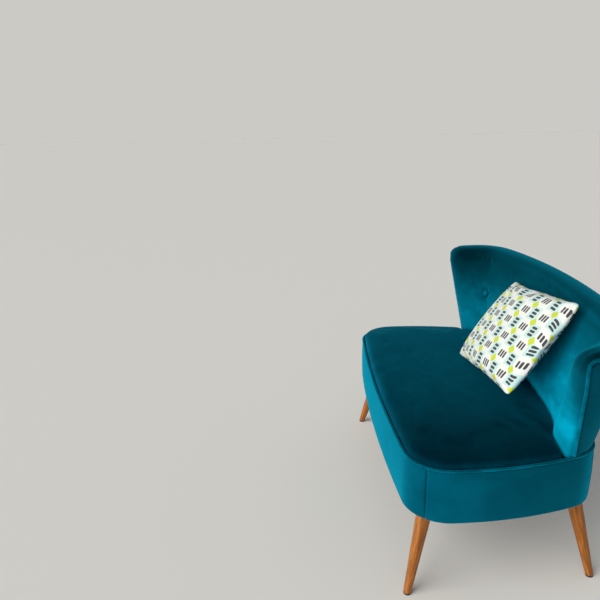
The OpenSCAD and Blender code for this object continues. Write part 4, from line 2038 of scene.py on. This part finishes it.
        # Beyond the first and the last mark the way goes on at the same rate.
        marks = np.array([2 * marks[0] - marks[1], *marks, 2 * marks[-1] - marks[-2]])
        ways = np.array([2 * ways[0] - ways[1], *ways, 2 * ways[-1] - ways[-2]])
        return np.interp(place, marks, ways) - np.interp(0.0, marks, ways)

    def settle(self, cushion: bpy.types.Object) -> None:
        """Presses the cushion clear of the seat and the back that it rests on.

        Args:
            cushion: the cushion, in its place.
        """
        near = tree_of("seat_pad", "back_pad")
        points = points_of(cushion)
        for i, p in enumerate(points):
            spot, normal, _, _ = near.find_nearest(Vector(p), 30 * MM)
            if spot is None:
                continue
            room = (Vector(p) - spot).dot(normal)
            if room < self.clear:
                points[i] += np.array(normal) * (self.clear - room)
        move_points(cushion, points)


# Studio


@dataclass
class Studio:
    """A plain pale floor, soft lamps and the camera at the photograph's angle.

    Attributes:
        floor: colour of the floor.
        floor_w: its width.
        beyond: colour of what is behind it, which is how that floor looks when lit.
        sky: colour of the even light from all sides.
        sky_power: strength of that light.
        aim_h: height of the point that the lamps face.
        sensor_mm: width of the camera's sensor.
        focal_px: the camera's focal length in pixels of the picture.
        width_px: the picture's width.
        eye: the camera's place.
        bearing: angle by which it looks away from -X towards +Y, in degrees.
        pitch: angle by which it looks down, in degrees.
        roll: angle by which it leans, in degrees.
    """

    floor: str = "#F4F2EE"
    floor_w: float = 60.0
    beyond: str = "#CCCAC5"
    sky: str = "#F4F6F8"
    sky_power: float = 0.2
    aim_h: float = 0.45
    sensor_mm: float = 36.0
    focal_px: float = 615.55
    width_px: float = 600.0
    eye: tuple[float, float, float] = (1.90304, -0.60888, 1.3)
    bearing: float = 1.36
    pitch: float = 17.1
    roll: float = -1.24

    def build(self) -> None:
        """Sets up the floor, the lamps and the camera."""
        self.add_floor()
        self.add_world()
        self.add_lamp("window", (1.6, -2.9, 1.8), 60.0, 3.4, "#FFFDF8")
        self.add_lamp("room", (2.6, -1.4, 2.0), 80.0, 0.5, "#FFFFFF")
        self.add_lamp("behind", (-0.8, 3.4, 2.2), 60.0, 0.1, "#F6FAFF")
        self.add_camera()
        bpy.context.scene.view_settings.view_transform = "Standard"

    def add_floor(self) -> None:
        """Lays the floor, which isn't part of the sofa."""
        floor = primitive(bpy.ops.mesh.primitive_plane_add, "floor", size=self.floor_w)
        s = Shader("matt studio floor")
        floor.data.materials.append(s.finish({"Base Color": srgb(self.floor), "Roughness": 0.9}))

    def add_world(self) -> None:
        """Lights the scene evenly, and shows the floor's colour behind it."""
        s = Shader("studio", bpy.data.worlds)
        bpy.context.scene.world = s.owner
        light = s.tree.nodes["Background"]
        s.join(light.inputs["Color"], srgb(self.sky))
        s.join(light.inputs["Strength"], self.sky_power)
        shown = s.add("Background", inputs={"Color": srgb(self.beyond)})
        seen = s.add("LightPath").outputs["Is Camera Ray"]
        mix = s.add("MixShader", inputs=[seen, light, shown])
        s.join(s.tree.nodes["World Output"].inputs["Surface"], mix)

    def add_lamp(
        self, name: str, place: tuple[float, float, float], width: float, power: float, tint: str
    ) -> None:
        """Hangs one wide soft lamp far off, so that it lights the floor evenly.

        Args:
            name: the lamp's name.
            place: a point in the direction that its light comes from.
            width: the angle that the lamp fills, in degrees.
            power: its strength.
            tint: its colour.
        """
        lamp = bpy.data.lights.new(name, "SUN")
        lamp.angle = math.radians(width)
        lamp.energy = power
        lamp.color = srgb(tint)[:3]
        obj = bpy.data.objects.new(name, lamp)
        bpy.context.scene.collection.objects.link(obj)
        obj.location = place
        aim = Vector((0, 0, self.aim_h)) - Vector(place)
        obj.rotation_euler = aim.to_track_quat("-Z", "Y").to_euler()

    def add_camera(self) -> None:
        """Puts the camera where the photograph was taken from."""
        camera = bpy.data.cameras.new("camera")
        camera.sensor_width = self.sensor_mm
        camera.lens = self.focal_px / self.width_px * camera.sensor_width
        obj = bpy.data.objects.new("camera", camera)
        bpy.context.scene.collection.objects.link(obj)
        turn, down, lean = (math.radians(a) for a in (self.bearing, self.pitch, self.roll))
        ahead = Vector((-math.cos(turn) * math.cos(down), math.sin(turn) * math.cos(down), -math.sin(down)))
        right = ahead.cross(Vector((0, 0, 1))).normalized()
        up = right.cross(ahead)
        leaned_right = math.cos(lean) * right + math.sin(lean) * up
        leaned_up = -math.sin(lean) * right + math.cos(lean) * up
        pose = Matrix.Identity(4)
        for k, axis in enumerate((leaned_right, leaned_up, -ahead)):
            pose.col[k] = (*axis, 0.0)
        pose.col[3] = (*self.eye, 1.0)
        obj.matrix_world = pose
        bpy.context.scene.camera = obj


def main() -> None:
    """Builds every piece of the sofa and the studio round it."""
    logging.basicConfig(level=logging.INFO, format="%(name)s: %(message)s")
    # Each piece takes its own lighter or darker copy of the velvet, partly for the way its pile lies and
    # partly as painted light and shade.
    seat = Velvet(
        "velvet, pile towards the front, with painted shade",
        "#003A50",
        "#005870",
        bloom_weight=0.25,
        brush_depth=1.0,
        painted_top_shade=0.38,
        painted_shading=(PaintedShading((1, 0, 0), 0.0, 0.45, 0.45),),
    ).build()
    back = Velvet(
        "velvet, pile upwards, with painted shading",
        "#00485A",
        "#006E86",
        bloom_weight=0.55,
        brush_depth=0.8,
        painted_top_shade=0.3,
        painted_shading=(
            PaintedShading((0, 0, 1), 0.52, 0.74, 0.13),
            PaintedShading((1, 0, 0), -0.4, 0.3, 2.8),
            PaintedShading((1, 0, 0), 0.52, 0.57, 0.5),
        ),
    ).build()
    border = Velvet(
        "velvet, pile downwards, with painted light and shade",
        "#004054",
        "#005E76",
        bloom_weight=1.0,
        brush_mm=556.0,
        painted_shading=(PaintedShading((1, 0, 0), 0.4, 0.5, 0.8), PaintedShading((0, 1, 0), -0.22, 0.25, 0.35)),
    ).build()
    panel = Velvet("velvet, pile upwards, with painted shading, stretched", "#002A38", "#003F50").build()
    piping = Velvet("velvet cut on the bias", "#003F50", "#006C86", bloom_weight=0.9, brush_mm=83.3).build()
    knob = Velvet(
        "velvet stretched over a button", "#00485A", "#007088", bloom_weight=0.9, brush_mm=33.3
    ).build()
    steel = ZincSteel().build()
    nylon = MouldedNylon().build()
    Studio().build()
    SeatCover(seat).build()
    BackCover(back).build()
    SeatBorder(border).build()
    Piping(piping).build()
    OuterPanel(panel).build()
    CoveredButton(knob).build()
    for corner in Corner:
        Leg(corner, steel, nylon).build()
    Staples(steel).build()
    LooseCushion(PrintedCotton().build()).build()
    repaint("dust_cover", BondedCloth().build())
    # The frame's felt is kept dark so that where it shows between the covers it is painted shade.
    repaint("seat_frame", FeltedFrameDarkAsShade().build())


if __name__ == "__main__":
    main()
